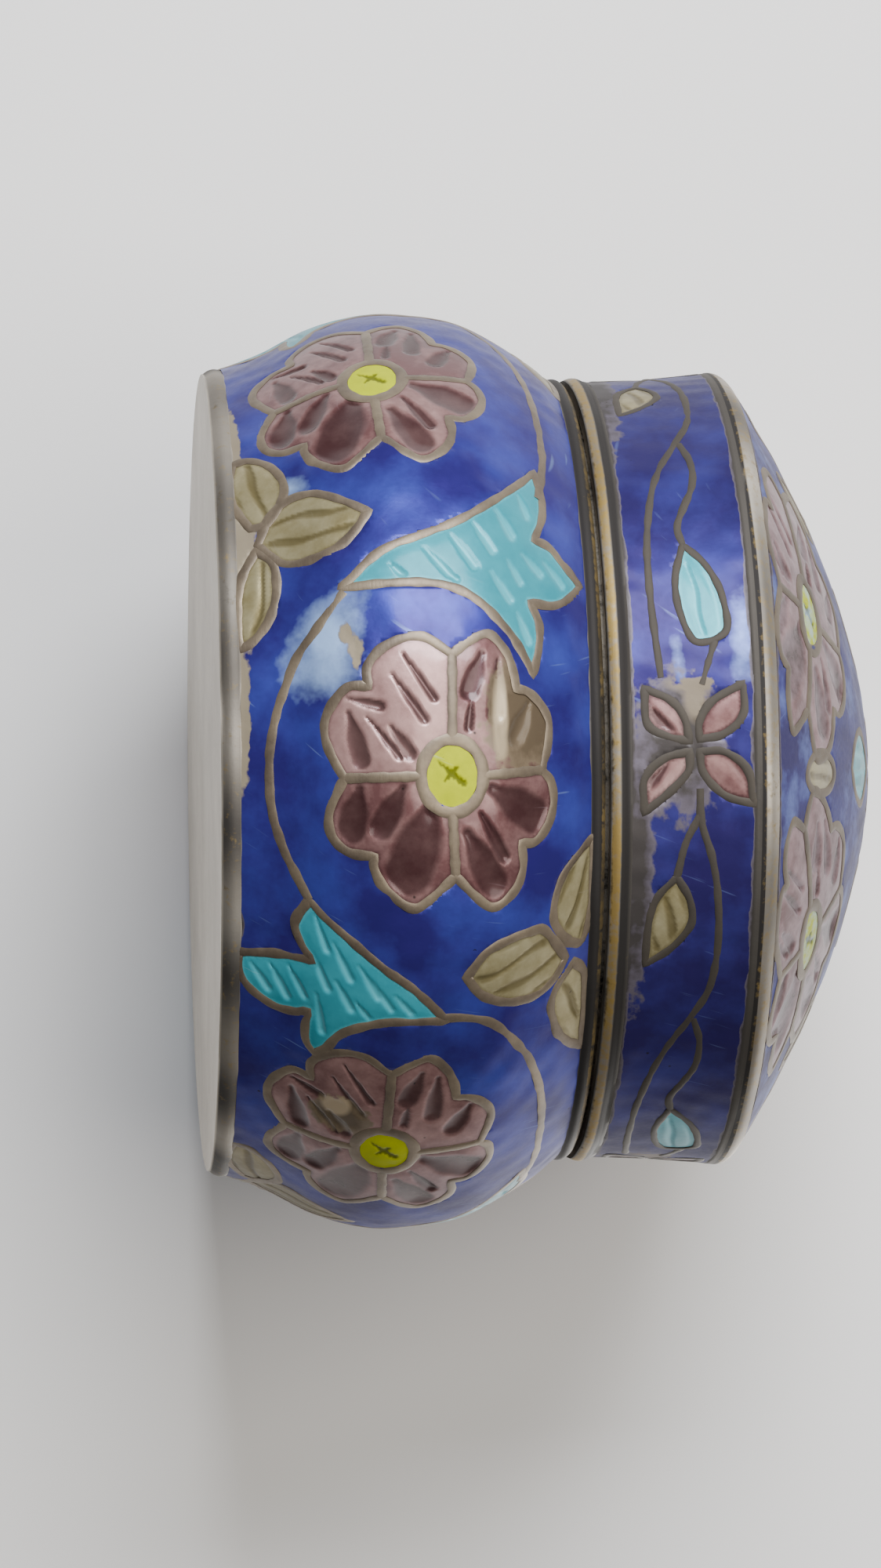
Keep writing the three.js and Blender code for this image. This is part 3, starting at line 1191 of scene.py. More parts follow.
@dataclass(frozen=True)
class Flower:
    """A flower of four heart-shaped petals round a yellow eye, parted by four ribs of metal."""

    ring: tuple[float, float] = (1.85, 2.15)
    eye: tuple[float, float] = (1.5, 1.8)
    ring_width: float = 0.72
    hearts: tuple[Heart, ...] = (
        Heart(Outline(((0.1, -7.2), (1.2, -8.0), (2.4, -8.4), (3.4, -7.4), (3.9, -6.2), (4.1, -5.1), (4.9, -4.9),
                       (5.8, -4.2), (6.4, -3.1), (6.3, -1.8), (5.9, -0.3)), (0, 5), False), -90,
              Gouges(((1.9, -7.2, 1.1, -5.0, 1.4), (1.2, -4.4, 1.0, -2.8, 0.6), (2.9, -6.8, 2.7, -3.6, 1.2),
                      (5.0, -4.2, 4.0, -2.2, 1.3)), 0.19)),
        Heart(Outline(((5.9, -0.3), (6.5, 0.4), (6.7, 1.6), (6.3, 2.9), (5.4, 3.9), (4.4, 4.0), (4.5, 5.6),
                       (3.9, 6.9), (2.7, 7.8), (1.7, 7.4), (0.2, 5.9)), (0, 5), False), 0,
              Gouges(((2.4, 0.8, 5.3, 2.4, 2.5), (1.7, 2.2, 3.2, 4.8, 0.9), (0.9, 3.4, 2.5, 6.3, 2.1)), 0.2)),
        Heart(Outline(((0.2, 5.9), (-1.4, 7.4), (-2.4, 7.8), (-3.9, 6.7), (-4.6, 5.4), (-4.6, 4.7), (-6.2, 4.4),
                       (-7.2, 3.4), (-7.3, 2.0), (-6.4, 0.1)), (0, 5), False), 90,
              Gouges(((-5.5, 0.7, -6.0, 3.1, 2.0), (-2.9, 0.6, -4.2, 3.0, 1.7), (-1.1, 1.5, -2.6, 5.7, 3.2)), 0.2)),
        Heart(Outline(((-6.4, 0.1), (-7.0, -0.9), (-7.6, -2.3), (-7.4, -3.7), (-6.2, -5.2), (-4.9, -5.3),
                       (-4.9, -6.5), (-3.8, -7.7), (-1.8, -8.3), (0.1, -7.2)), (0, 5), False), 180,
              Gouges(((-2.8, -7.2, -1.0, -4.5, 0.5), (-3.5, -6.0, -1.6, -3.3, 0.6), (-6.1, -3.7, -5.4, -1.0, 1.4),
                      (-5.0, -3.5, -3.1, -1.1, 0.5), (-3.6, -2.9, -2.5, -1.3, 1.0), (-6.2, -4.6, -4.2, -4.1, 0.7)),
                     0.18)),
    )

    def inlay(self, work: Inlay, spot: Spot, tones_and_painted_light: tuple[float, ...], scale: tuple[float, float, float] = (1, 1, 1),
              bare: dict[int, tuple[Rub, ...]] | None = None) -> None:
        """Lays the flower. A heart is closed by an arc of the ring and by straight lines to it, one of them a rib.

        Args:
            work: What gathers its cells and walls.
            spot: Where its middle lies.
            tones_and_painted_light: How thin the glass of each heart is, and the painted light and shade on it.
            scale: Size towards the foot, towards the crown, and round the box.
            bare: Heart number to its places without glass.
        """
        for number, heart in enumerate(self.hearts):
            lobes = self._scaled(heart.lobes.traced(), scale)
            turn = np.radians(np.linspace(heart.start + 90, heart.start, 12))
            arc = self._scaled(np.stack([self.ring[0] * np.cos(turn), self.ring[1] * np.sin(turn)], 1), scale)
            inwards = respaced(np.vstack([lobes[-1], arc[0]]), STEP)
            rib = respaced(np.vstack([arc[-1], lobes[0]]), STEP)
            cell = np.vstack([lobes, inwards[1:-1], arc, rib[1:-1]])
            work.cell(Slot.AUBERGINE, cell, spot, hatch=heart.cuts, tone=tones_and_painted_light[number],
                      bare=(bare or {}).get(number, ()))
            work.wall(rib, spot)
        whole = np.vstack([heart.lobes.traced()[:-1] for heart in self.hearts])
        work.wall(self._scaled(whole, scale), spot, closed=True)
        work.wall(self._scaled(ellipse(self.ring, 64), scale), spot, closed=True, width=self.ring_width)
        work.cell(Slot.YELLOW, self._scaled(ellipse(self.eye, 48), scale), spot, hatch=EYE_CUTS, tone=0.2, seam=0.0)

    @staticmethod
    def _scaled(plan: np.ndarray, scale: tuple[float, float, float]) -> np.ndarray:
        """Scales a plan by its first factor towards the foot, its second towards the crown and its third round."""
        b = plan[:, 0] * np.where(plan[:, 0] < 0, scale[0], scale[1])
        return np.stack([b, plan[:, 1] * scale[2]], axis=1)


# The bowl


class Hand(Enum):
    """Which way a bay of the bowl's pattern curls: its stem passes the flower on the foot's or the lid's side."""

    FOOT = "foot"
    LID = "lid"


@dataclass(frozen=True)
class Sprig:
    """What grows in a bay beside its flower: a leaf, a trefoil of three straw leaves, and a stem.

    The gaps are the angles in degrees to the bays before and after it, for which it is drawn.
    """

    leaf: Outline
    leaf_cuts: Gouges
    trefoil: tuple[tuple[Outline, Hatch], ...]
    stem: Outline
    gaps: tuple[float, float]


SPRIGS: dict[Hand, Sprig] = {
    Hand.FOOT: Sprig(
        leaf=Outline(((-6.4, -11.3), (-3.9, -13.7), (-1.5, -14.8), (0.8, -15.8), (3.0, -17.2), (5.2, -18.8),
                      (6.3, -19.8), (6.7, -17.9), (6.6, -16.2), (5.9, -14.6), (7.0, -14.1), (8.0, -13.0),
                      (9.3, -11.5), (8.3, -10.7), (7.0, -10.2), (5.3, -10.4), (5.9, -9.0), (5.8, -7.5),
                      (5.3, -5.9), (4.3, -7.7), (2.7, -9.6), (1.0, -11.0), (-1.0, -11.6), (-3.6, -11.6)),
                     (0, 6, 9, 12, 15, 18)),
        leaf_cuts=Gouges(((-3.4, -12.9, -2.6, -12.1, 0.5), (-1.3, -13.9, 0.1, -12.2, 0.6),
                           (0.3, -14.8, 1.7, -12.7, 0.65), (1.7, -15.7, 2.9, -13.7, 0.65),
                           (3.2, -16.8, 4.3, -14.7, 0.65), (4.9, -17.9, 5.5, -16.2, 0.55),
                           (2.6, -12.4, 3.9, -10.5, 0.6), (3.8, -13.2, 4.7, -11.6, 0.5),
                           (4.9, -13.6, 6.2, -12.2, 0.6), (6.5, -13.1, 7.8, -11.5, 0.6),
                           (4.3, -9.8, 5.1, -7.9, 0.6), (-0.4, -12.6, 0.6, -11.8, 0.4)), 0.13),
        trefoil=(
            (Outline(((-4.5, -16.5), (-5.3, -15.2), (-6.5, -14.0), (-8.6, -13.1), (-10.1, -13.1), (-11.5, -14.4),
                      (-10.7, -16.4), (-9.5, -17.6), (-7.8, -18.0), (-6.1, -17.4)), (0, 5)), Hatch(-12, 1.5, 0.4)),
            (Outline(((-12.8, -20.9), (-11.8, -21.2), (-10.5, -20.5), (-9.7, -19.0), (-9.9, -17.5), (-10.9, -15.9),
                      (-11.9, -15.6), (-12.9, -17.4), (-13.1, -19.4)), (0, 6)), Hatch(75, 1.5, 0.4)),
            (Outline(((-11.6, -14.0), (-10.6, -13.1), (-10.4, -11.6), (-10.6, -10.3), (-11.1, -9.1), (-12.0, -8.0),
                      (-12.8, -7.6), (-12.9, -9.6), (-12.6, -12.0)), (0, 6)), Hatch(98, 1.4, 0.4)),
        ),
        stem=Outline(((-6.2, -11.1), (-8.1, -8.6), (-9.3, -7.0), (-10.1, -5.1), (-10.8, -3.0), (-11.1, -0.4),
                      (-10.9, 2.2), (-10.3, 4.1), (-9.6, 5.5), (-8.6, 7.3)), (0,), False),
        gaps=(55.8, 52.0),
    ),
    Hand.LID: Sprig(
        leaf=Outline(((-8.6, -17.4), (-9.5, -15.7), (-9.1, -14.5), (-8.4, -13.7), (-9.8, -13.4), (-11.7, -12.9),
                      (-13.0, -12.5), (-12.9, -11.2), (-12.1, -10.2), (-10.7, -9.6), (-9.4, -9.7), (-8.5, -10.2),
                      (-8.7, -9.1), (-8.6, -7.9), (-8.0, -7.3), (-7.3, -8.0), (-6.5, -9.3), (-5.2, -10.3),
                      (-3.5, -11.0), (-1.7, -11.1), (-0.1, -11.1), (-1.9, -13.2), (-4.4, -14.9), (-6.1, -16.0)),
                     (0, 3, 6, 11, 14, 20)),
        leaf_cuts=Gouges(((-8.2, -16.6, -7.4, -14.8, 0.55), (-8.3, -14.2, -7.3, -12.3, 0.6),
                           (-7.0, -15.4, -5.9, -13.4, 0.6), (-6.8, -13.0, -5.8, -11.4, 0.6),
                           (-5.4, -14.4, -4.2, -12.6, 0.6), (-4.6, -13.6, -3.4, -11.9, 0.5),
                           (-3.2, -12.9, -2.2, -11.7, 0.45), (-8.0, -11.6, -7.6, -9.2, 0.6),
                           (-12.2, -12.1, -11.1, -10.7, 0.6), (-11.0, -12.4, -9.9, -10.6, 0.6),
                           (-9.9, -12.7, -8.8, -11.1, 0.55), (-5.6, -12.0, -4.7, -11.0, 0.4)), 0.13),
        trefoil=(
            (Outline(((1.0, -13.9), (2.2, -15.3), (3.8, -15.6), (5.3, -15.4), (6.3, -14.9), (7.9, -12.3),
                      (7.0, -11.3), (5.7, -10.9), (3.8, -11.4), (2.0, -12.5)), (0, 5)), Hatch(-8, 1.5, 0.4)),
            (Outline(((8.1, -13.2), (6.9, -15.0), (6.9, -16.6), (7.6, -17.9), (8.9, -18.5), (9.9, -18.7),
                      (9.9, -16.4), (9.8, -14.3), (9.2, -12.6)), (0, 5)), Hatch(-62, 1.5, 0.4)),
            (Outline(((8.5, -11.7), (7.2, -10.6), (6.9, -9.4), (7.5, -7.3), (8.5, -5.8), (9.7, -4.5),
                      (9.7, -7.5), (9.5, -10.3)), (0, 5)), Hatch(62, 1.5, 0.4)),
        ),
        stem=Outline(((-0.3, -11.3), (1.3, -11.1), (2.8, -10.3), (4.2, -8.5), (5.5, -6.3), (6.5, -3.4), (7.0, -0.3),
                      (7.1, 2.6), (7.1, 4.6), (6.8, 6.6), (6.4, 8.4)), (0,), False),
        gaps=(52.0, 55.8),
    ),
}


@dataclass(frozen=True)
class Bay:
    """One of the bowl's six bays: its flower's place, its curl, how its glass has aged, and tones with painted light.
    """

    angle: float
    along: float
    hand: Hand
    # Each heart's tone is partly the glass's thinness and partly painted light and shade: hearts that face the window
    # are paler.
    tones_and_painted_light: tuple[float, ...] = (0.1, 0.0, 0.05, 0.15)
    bare: dict[int, tuple[Rub, ...]] = field(default_factory=dict)


BAYS: tuple[Bay, ...] = (
    Bay(-55.2, 10.4, Hand.LID, (-0.2, 0.05, -0.1, -0.05)),
    Bay(0.6, 14.0, Hand.FOOT, (-0.05, -0.1, -0.1, 0.4),
        # Heart 0's narrow light strip is rubbed metal with a painted highlight along its ridge.
        {0: (Rub((4.9, -3.6), (2.7, 3.3)), Rub((3.0, -3.1), (0.35, 1.9), 0.8, light=True))}),
    Bay(52.6, 10.7, Hand.LID, (0.1, 0.0, 0.0, 0.1),
        {3: (Rub((-2.9, -2.9), (1.7, 1.5)), Rub((-3.2, -3.7), (0.6, 0.6), light=True))}),
    Bay(115.6, 14.0, Hand.FOOT),
    Bay(178.7, 10.5, Hand.LID),
    Bay(241.8, 14.0, Hand.FOOT),
)


@dataclass
class Bowl:
    """The bowl: a shell of silver sheet with wires and a collar, and the enamelled pattern round its belly."""

    foot_radius: float = 25.2
    foot_flare: float = 0.35
    foot_rim: float = 1.1
    mouth_radius: float = 24.6
    mouth_flare: float = 0.2
    mouth_rim: float = 0.8
    height: float = 22.7
    wall: float = 1.1
    base: float = 1.3
    proud: float = 0.18
    collar_radius: float = 23.35
    collar_wall: float = 0.8
    collar_height: float = 3.4
    collar_fillet: tuple[float, float] = (0.1, 0.15)
    collar_edge: float = 0.2
    base_rings: tuple[float, ...] = (6.0, 14.0, 22.0, 24.6)
    glass: float = 0.06
    segments: int = 640
    belly_step: float = 0.25
    pattern_level: float = 14.0
    worn_angle: float = 0.6
    worn_radius: float = 28.5
    belly: Points = ((25.55, 1.1), (26.6, 3.8), (28.0, 6.5), (28.85, 9.4), (29.0, 12.0), (28.4, 16.0), (26.25, 20.0),
                     (24.8, 21.9))
    hazed: tuple[Rub, ...] = (Rub((-7.2, -7.8), (2.0, 2.6), 1.1), Rub((-9.3, -19.6), (1.0, 0.9), 0.8))
    bared: tuple[Rub, ...] = (Rub((-6.1, -8.6), (0.5, 0.9), 0.72, light=True),
                              Rub((-5.6, -7.7), (0.6, 0.8), 0.75, light=True),
                              Rub((-5.5, -6.9), (0.45, 0.8), 0.7, light=True),
                              Rub((-12.8, -4.2), (0.55, 4.8), light=True),
                              Rub((-12.6, -14.4), (1.0, 6.0), light=True),
                              Rub((-12.8, -24.0), (0.5, 5.5), light=True))

    def belly_line(self) -> np.ndarray:
        """The belly's outline between the two wires."""
        return smooth_run(np.array(self.belly), self.belly_step)

    def skin(self) -> TurnedSkin:
        """The outside from the foot to the mouth, as the patterns are laid on it."""
        foot, mouth = (self.foot_radius, 0.0), (self.mouth_radius, self.height)
        return TurnedSkin(np.vstack([[foot], self.belly_line(), [mouth]]))

    def build(self, finishes: Finishes) -> None:
        """Builds and dresses the bowl.

        Args:
            finishes: The finishes to use.
        """
        skin = self.skin()
        piece = make_piece("bowl_silver", self._shell(), finishes.plate, Slot.SILVER)
        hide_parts("body")
        work = Inlay("bowl")
        for number, bay in enumerate(BAYS):
            self._bay(work, skin, bay, BAYS[number - 1], BAYS[(number + 1) % len(BAYS)])
        work.make(finishes)
        make_piece("bowl_ground_enamel", self._ground(skin, work), finishes.inlaid[Slot.COBALT], Slot.COBALT)

    def _shell(self) -> Patch:
        """Turns the silver: flat underside, foot wire, belly below the glass, mouth wire, ledge, collar and inside.

        Returns:
            The shell. Its foot wire is dark in places, its mouth wire is dark with some gilt by its edge, and it is
            darker in the seam under the lid.
        """
        foot = wire_line((self.foot_radius, 0.0), (self.foot_flare, self.foot_rim), self.proud)
        mouth = wire_line((self.mouth_radius + self.mouth_flare, self.height - self.mouth_rim),
                          (-self.mouth_flare, self.mouth_rim), self.proud)
        belly = self.belly_line()
        slope = np.gradient(belly, axis=0)
        slope /= np.hypot(*slope.T)[:, None]
        inward = np.stack([-slope[:, 1], slope[:, 0]], axis=1)
        sunk = belly + SILVER_DEPTH * inward
        bore = self.collar_radius - self.collar_wall
        inner = (belly + self.wall * inward)[::-1]
        inner = inner[(inner[:, 1] > self.base + self.wall) & (inner[:, 0] > bore)]
        top = self.height + self.collar_height
        corner = self.foot_radius - self.wall
        underside = [(ring, 0.0) for ring in self.base_rings]
        collar = [(self.collar_radius + self.collar_fillet[0], self.height),
                  (self.collar_radius, self.height + self.collar_fillet[1]),
                  (self.collar_radius, top - self.collar_edge), (self.collar_radius - self.collar_edge, top),
                  (bore + self.collar_edge, top), (bore, top - self.collar_edge),
                  (bore, self.height - self.mouth_rim - self.wall)]
        floor = [(corner + 0.2, self.base + 0.5), (corner - 0.6, self.base),
                 *((ring, self.base) for ring in self.base_rings[1::-1])]
        shell = SilverShell(np.vstack([underside, foot, sunk[1:-1], mouth, collar, inner, floor]))
        radius, height = shell.radius, shell.height
        foot_wire = (np.abs(height - self.foot_rim / 2) < 0.6) * (radius > self.foot_radius)
        mouth_wire = (np.abs(height - self.height + self.mouth_rim / 2) < 0.45) * (
            radius > self.collar_radius + 0.5)
        wires = foot_wire + mouth_wire
        # Darker in the seam under the lid.
        seam = (height > self.height - 0.35) * (height < self.height + 1.0) * (radius > self.collar_radius - 0.1)
        age = np.clip(0.8 + 0.45 * ripple(shell.angle, height, 12.0, 7), 0, 1)
        return shell.turn(wires * 0.05 * ripple(shell.angle, height, 7.0, 5) - wires * 0.03,
                          soot=0.5 * seam + 0.12 * foot_wire + 0.06,
                          gilt=0.4 * mouth_wire * (height > self.height - 0.3) + 0.15 * foot_wire + 0.12,
                          slate=0.95 * age * foot_wire + 1.0 * mouth_wire)

    def _ground(self, skin: TurnedSkin, work: Inlay) -> Patch:
        """Coats the belly with cobalt glass.

        Args:
            skin: The bowl's skin.
            work: The cells, which the glass passes under.

        Returns:
            The coat, uneven by a few hundredths of a mm, and rubbed through at the worn places and along its edges.
        """
        low, high = self.foot_rim + 0.1, skin.length - self.mouth_rim - 0.05
        outer, inner = np.linspace(low, high, 84), np.linspace(high, low, 12)
        spread, around = spread_round(np.concatenate([outer, inner]), self.segments)
        top = np.arange(len(spread))[:, None] < len(outer)
        uneven = 0.028 * ripple(around, spread, 2.3, 11, 26) + 0.016 * ripple(around, spread, 9.0, 12)
        plan = np.stack([spread - self.pattern_level, round_wall(around, self.worn_angle, self.worn_radius)], axis=-1)
        bare = wear(self.bared, plan)
        bare = np.maximum(bare, 0.4 * ease(1 - (spread - low) / 0.5) * (0.6 + ripple(around, spread, 5.0, 13)))
        bare = np.maximum(bare, 0.4 * ease(1 - (high - spread) / 0.4) * (0.6 + ripple(around, spread, 6.0, 14)))
        covered = work.covers(skin.point(spread, around, 0.0).reshape(-1, 3)).reshape(spread.shape)
        level = np.where(covered, -COVERED_DEPTH, -self.glass + uneven - 0.03 * lost(bare))
        return glass_coat(skin.point(spread, around, np.where(top, level, -GLASS_DEPTH)), top, True,
                          bare=bare, rubbed=wear(self.bared, plan, light_only=True), frost=wear(self.hazed, plan),
                          tone=0.25 * ripple(around, spread, 6.0, 15))

    def _bay(self, work: Inlay, skin: TurnedSkin, bay: Bay, last: Bay, following: Bay) -> None:
        """Lays one bay's flower, leaf, trefoil and stem, drawn out to fill the gaps to its neighbours.

        Args:
            work: What gathers the cells and walls.
            skin: The bowl's skin.
            bay: The bay.
            last: The bay before it.
            following: The bay after it.
        """
        sprig = SPRIGS[bay.hand]
        gaps = ((bay.angle - last.angle) % 360, (following.angle - bay.angle) % 360)
        spot = Spot(skin, self.pattern_level, bay.angle, gaps[0] / sprig.gaps[0], gaps[1] / sprig.gaps[1])
        Flower().inlay(work, Spot(skin, bay.along, bay.angle), bay.tones_and_painted_light, bare=bay.bare)
        work.walled_cell(Slot.TURQUOISE, sprig.leaf, spot, hatch=sprig.leaf_cuts, tone=0.1, crisp=1.2)
        for outline, hatch in sprig.trefoil:
            work.walled_cell(Slot.STRAW, outline, spot, hatch=hatch)
        work.wall(sprig.stem.traced(), spot)


# The lid


@dataclass
class Lid:
    """The lid: a shell of silver with two wires, an enamelled band and an enamelled dome."""

    foot: float = 23.0
    radius: float = 24.75
    edge_radius: float = 25.3
    edge_height: float = 33.05
    rim: float = 1.1
    edge_rim: float = 0.9
    wall: float = 1.1
    proud: float = 0.18
    inside_edge: float = 0.15
    inside_ring: float = 28.0
    glass: float = 0.06
    band: tuple[float, float] = (0.2, 7.5)
    segments: int = 540
    dome: DomeSkin = field(default_factory=DomeSkin)
    dome_glass: tuple[float, float] = (0.15, 24.6)
    dome_segments: int = 420
    quarters: tuple[float, ...] = (-3.3, 86.7, 176.7, 266.7)
    rubbed: tuple[Rub, ...] = (Rub((2.9, 0.0), (2.9, 4.4), 0.9), Rub((4.0, -3.7), (1.2, 0.4), 0.85, light=True),
                               Rub((4.0, -2.8), (0.5, 1.0), 0.8, light=True), Rub((0.6, 8.0), (0.9, 9.0), 0.9))
    # The first hazed patch is partly a painted highlight: it sits where the window's reflection falls on the band.
    hazed: tuple[Rub, ...] = (Rub((6.9, -6.4), (0.8, 2.4), 0.68), Rub((3.0, -5.4), (0.5, 1.2), 0.68))
    stem_width: float = 0.46
    straw_leaf: Outline = Outline(((2.9, 7.9), (1.7, 9.3), (1.3, 11.0), (1.2, 13.6), (2.5, 12.7), (3.4, 11.7),
                                   (3.9, 10.7), (3.7, 9.3)), (0, 3))
    turquoise_leaf: Outline = Outline(((3.8, -12.8), (3.2, -10.5), (3.25, -8.5), (3.8, -6.7), (4.4, -6.2),
                                       (5.5, -6.5), (6.1, -7.3), (5.8, -9.6), (5.0, -11.4)), (0,))
    petals: tuple[tuple[Outline, float], ...] = (
        (Outline(((1.0, -3.4), (1.1, -1.3), (2.3, -0.5), (3.6, -0.2), (3.3, -1.7), (2.5, -2.7)), (0, 3)), 52.0),
        (Outline(((6.9, -3.7), (5.0, -2.6), (4.2, -1.4), (4.2, -0.3), (5.6, -0.6), (6.8, -1.7)), (0, 3)), 128.0),
        (Outline(((0.9, 4.0), (0.9, 2.0), (2.1, 0.8), (3.6, 0.4), (3.5, 1.6), (2.4, 2.8)), (0, 3)), 128.0),
        (Outline(((7.4, 3.6), (5.6, 3.0), (4.4, 1.7), (4.2, 0.4), (5.6, 0.4), (7.0, 1.5)), (0, 3)), 52.0),
    )
    stems: tuple[Outline, ...] = (
        Outline(((4.2, 2.6), (4.3, 4.6), (5.0, 6.9), (5.4, 9.5), (5.5, 12.3), (5.2, 15.2), (4.2, 17.5), (3.0, 19.9),
                 (2.2, 22.5), (1.7, 25.8), (1.6, 28.8), (1.7, 31.4), (2.0, 34.9)), (0,), False),
        Outline(((4.4, -21.6), (4.9, -19.6), (4.8, -17.5), (4.1, -15.6), (3.6, -14.1), (3.8, -12.8)), (0,), False),
        Outline(((5.3, -6.3), (5.0, -5.4), (4.4, -3.6)), (0,), False),
        Outline(((4.2, 4.2), (3.4, 5.8), (2.9, 7.9)), (0,), False),
    )
    dome_leaf: Outline = Outline(((-3.0, 0.0), (-1.6, -1.7), (0.6, -2.2), (3.2, 0.0), (0.6, 2.2), (-1.6, 1.7)),
                                 (0, 3))

    def side_skin(self) -> TurnedSkin:
        """Finds the skin of the band between the two wires, hollowed a little.

        Returns:
            The parabola (1 - t)^2 a + 2 t (1 - t) b + t^2 c, from the lower end a to the upper end c, where b has the
            lower end's radius at half the height.
        """
        low, high = self.foot + self.rim, self.edge_height - self.edge_rim
        t = np.linspace(0, 1, 41)[:, None]
        middle = (low + high) / 2
        points = [np.array(p) for p in ((self.radius, low), (self.radius, middle), (self.edge_radius, high))]
        return TurnedSkin((1 - t) ** 2 * points[0] + 2 * t * (1 - t) * points[1] + t**2 * points[2])

    def build(self, finishes: Finishes) -> None:
        """Builds and dresses the lid.

        Args:
            finishes: The finishes to use.
        """
        side = self.side_skin()
        piece = make_piece("lid_silver", self._shell(side), finishes.plate, Slot.SILVER)
        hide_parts("lid")
        band = Inlay("lid_band", slate=0.88)
        for angle in self.quarters:
            self._quarter(band, Spot(side, 0.0, angle))
        band.make(finishes)
        make_piece("lid_band_enamel", self._band(side, band), finishes.dulled, Slot.COBALT)
        # The dome's cells carry a pale haze: a painted sheen of grazing reflection.
        top = Inlay("lid_dome", CellWork(haze=0.45), slate=0.35)
        self._dome(top)
        top.make(finishes)
        make_piece("lid_dome_enamel", self._dome_ground(top), finishes.dulled, Slot.COBALT)

    def _shell(self, side: TurnedSkin) -> Patch:
        """Turns the silver: dome below the glass, upper wire, side below the glass, lower wire and the inside.

        Args:
            side: The skin of the band.

        Returns:
            The shell. Its lower wire is dark with a gilded line on it, its upper wire has gone dark in places, and
            the strips of the side beside the two wires are dark. The lower wire and the strip above it are darkened
            as tarnish and also as painted shade of the seam, and the lowest edge is darker still.
        """
        low = wire_line((self.radius, self.foot), (0.0, self.rim), self.proud)
        high = wire_line((self.edge_radius, self.edge_height - self.edge_rim),
                         (self.dome.edge - self.edge_radius, self.edge_rim), self.proud)
        glazed = (side.run > self.band[0] + 0.1) & (side.run < self.band[1] - 0.1)
        sunk = np.stack([side.radius - np.where(glazed, SILVER_DEPTH, 0.04), side.height], axis=1)[1:-1]
        inner_radius = self.radius - self.wall
        out = np.linspace(1.0, 0.03, 26)
        fall = self.dome.rise * out**self.dome.power
        crown = np.stack([(self.dome.edge - 0.35) * out, self.dome.crown - SILVER_DEPTH - fall], axis=1)
        inside = np.stack([inner_radius * out, self.dome.crown - self.wall - fall], axis=1)
        bore = [(inner_radius + self.inside_edge, self.foot), (inner_radius, self.foot + self.inside_edge),
                (inner_radius, self.inside_ring)]
        shell = SilverShell(np.vstack([crown[::-1], high[::-1], sunk[::-1], low[::-1], bore, inside]))
        radius, height = shell.radius, shell.height
        upper = (height > self.edge_height - self.edge_rim - 0.1) * (height < self.edge_height + 0.1) * (
            radius > self.dome.edge - 0.1)
        lower = (height < self.foot + self.rim + 0.1) * (radius > self.radius - 0.1)
        seam = lower * (height < self.foot + 0.2)
        gilded = (height > self.foot + 0.05) * (height < self.foot + 0.6) * lower
        # Dark strips beside the wires; the lower one, with the lower wire, is also painted shade of the seam.
        strips = (radius > self.radius - 0.3) * (height > self.foot + self.rim) * (height < self.foot + 3) + (
            height > self.foot + 8) * (height < self.edge_height - 0.85) * (radius > self.radius)
        age = np.clip(0.5 + 0.4 * ripple(shell.angle, height, 10.0, 8), 0, 1)
        return shell.turn((upper + lower) * (0.05 * ripple(shell.angle, height, 8.0, 6) - 0.03),
                          soot=0.08 + 0.4 * seam + 0.05 * upper,
                          gilt=0.12 + (0.24 + 0.5 * age) * gilded + 0.25 * upper,
                          slate=1.0 * lower * ~gilded + 0.6 * gilded + 0.9 * strips + 0.8 * upper * np.sqrt(age))

    def _band(self, side: TurnedSkin, work: Inlay) -> Patch:
        """Coats the side with cobalt glass.

        Args:
            side: The skin of the band.
            work: The cells, which the glass passes under.

        Returns:
            The coat, uneven, rubbed through raggedly beside its two wires, and worn in each quarter as in the first,
            where alone it is hazed; one hazed patch is partly a painted highlight.
        """
        outer, inner = np.linspace(*self.band, 34), np.linspace(*self.band[::-1], 6)
        spread, around = spread_round(np.concatenate([outer, inner]), self.segments)
        top = np.arange(len(spread))[:, None] < len(outer)
        uneven = 0.025 * ripple(around, spread, 2.3, 21, 26) + 0.012 * ripple(around, spread, 8.0, 22)
        ragged = 0.45 + 0.2 * ripple(around, spread, 4.0, 23)
        bare = 0.75 * ease(1 - (spread - self.band[0]) / ragged) + 0.75 * ease(1 - (self.band[1] - spread) / ragged)
        rubbed = np.zeros(spread.shape)
        plans = [np.stack([spread, round_wall(around, quarter, self.radius)], axis=-1) for quarter in self.quarters]
        for plan in plans:
            bare = np.maximum(bare, wear(self.rubbed, plan))
            rubbed = np.maximum(rubbed, wear(self.rubbed, plan, light_only=True))
        covered = work.covers(side.point(spread, around, 0.0).reshape(-1, 3)).reshape(spread.shape)
        level = np.where(covered, -COVERED_DEPTH, -self.glass + uneven)
        # The band's tone is 0.1 lower all over: painted shade.
        return glass_coat(side.point(spread, around, np.where(top, level, -GLASS_DEPTH)), top, True,
                          bare=bare, rubbed=rubbed, frost=wear(self.hazed, plans[0]),
                          tone=0.25 * ripple(around, spread, 6.0, 25) - 0.1)

    def _dome_ground(self, work: Inlay) -> Patch:
        """Coats the dome with cobalt glass.

        Args:
            work: The cells, which the glass passes under.

        Returns:
            The coat, a shallow lens that is closed at the crown above and below, worn at its edge, and hazed all
            over with a pale sheen painted for its grazing reflection.
        """
        outer, inner = np.linspace(*self.dome_glass, 74), np.linspace(*self.dome_glass[::-1], 20)
        spread, around = spread_round(np.concatenate([outer, inner]), self.dome_segments)
        top = np.arange(len(spread))[:, None] < len(outer)
        uneven = 0.03 * ripple(around, spread, 5.0, 31)
        covered = work.covers(self.dome.point(spread, around, 0.0).reshape(-1, 3)).reshape(spread.shape)
        level = np.where(covered, -COVERED_DEPTH, -self.glass + uneven * ease(spread / 6))
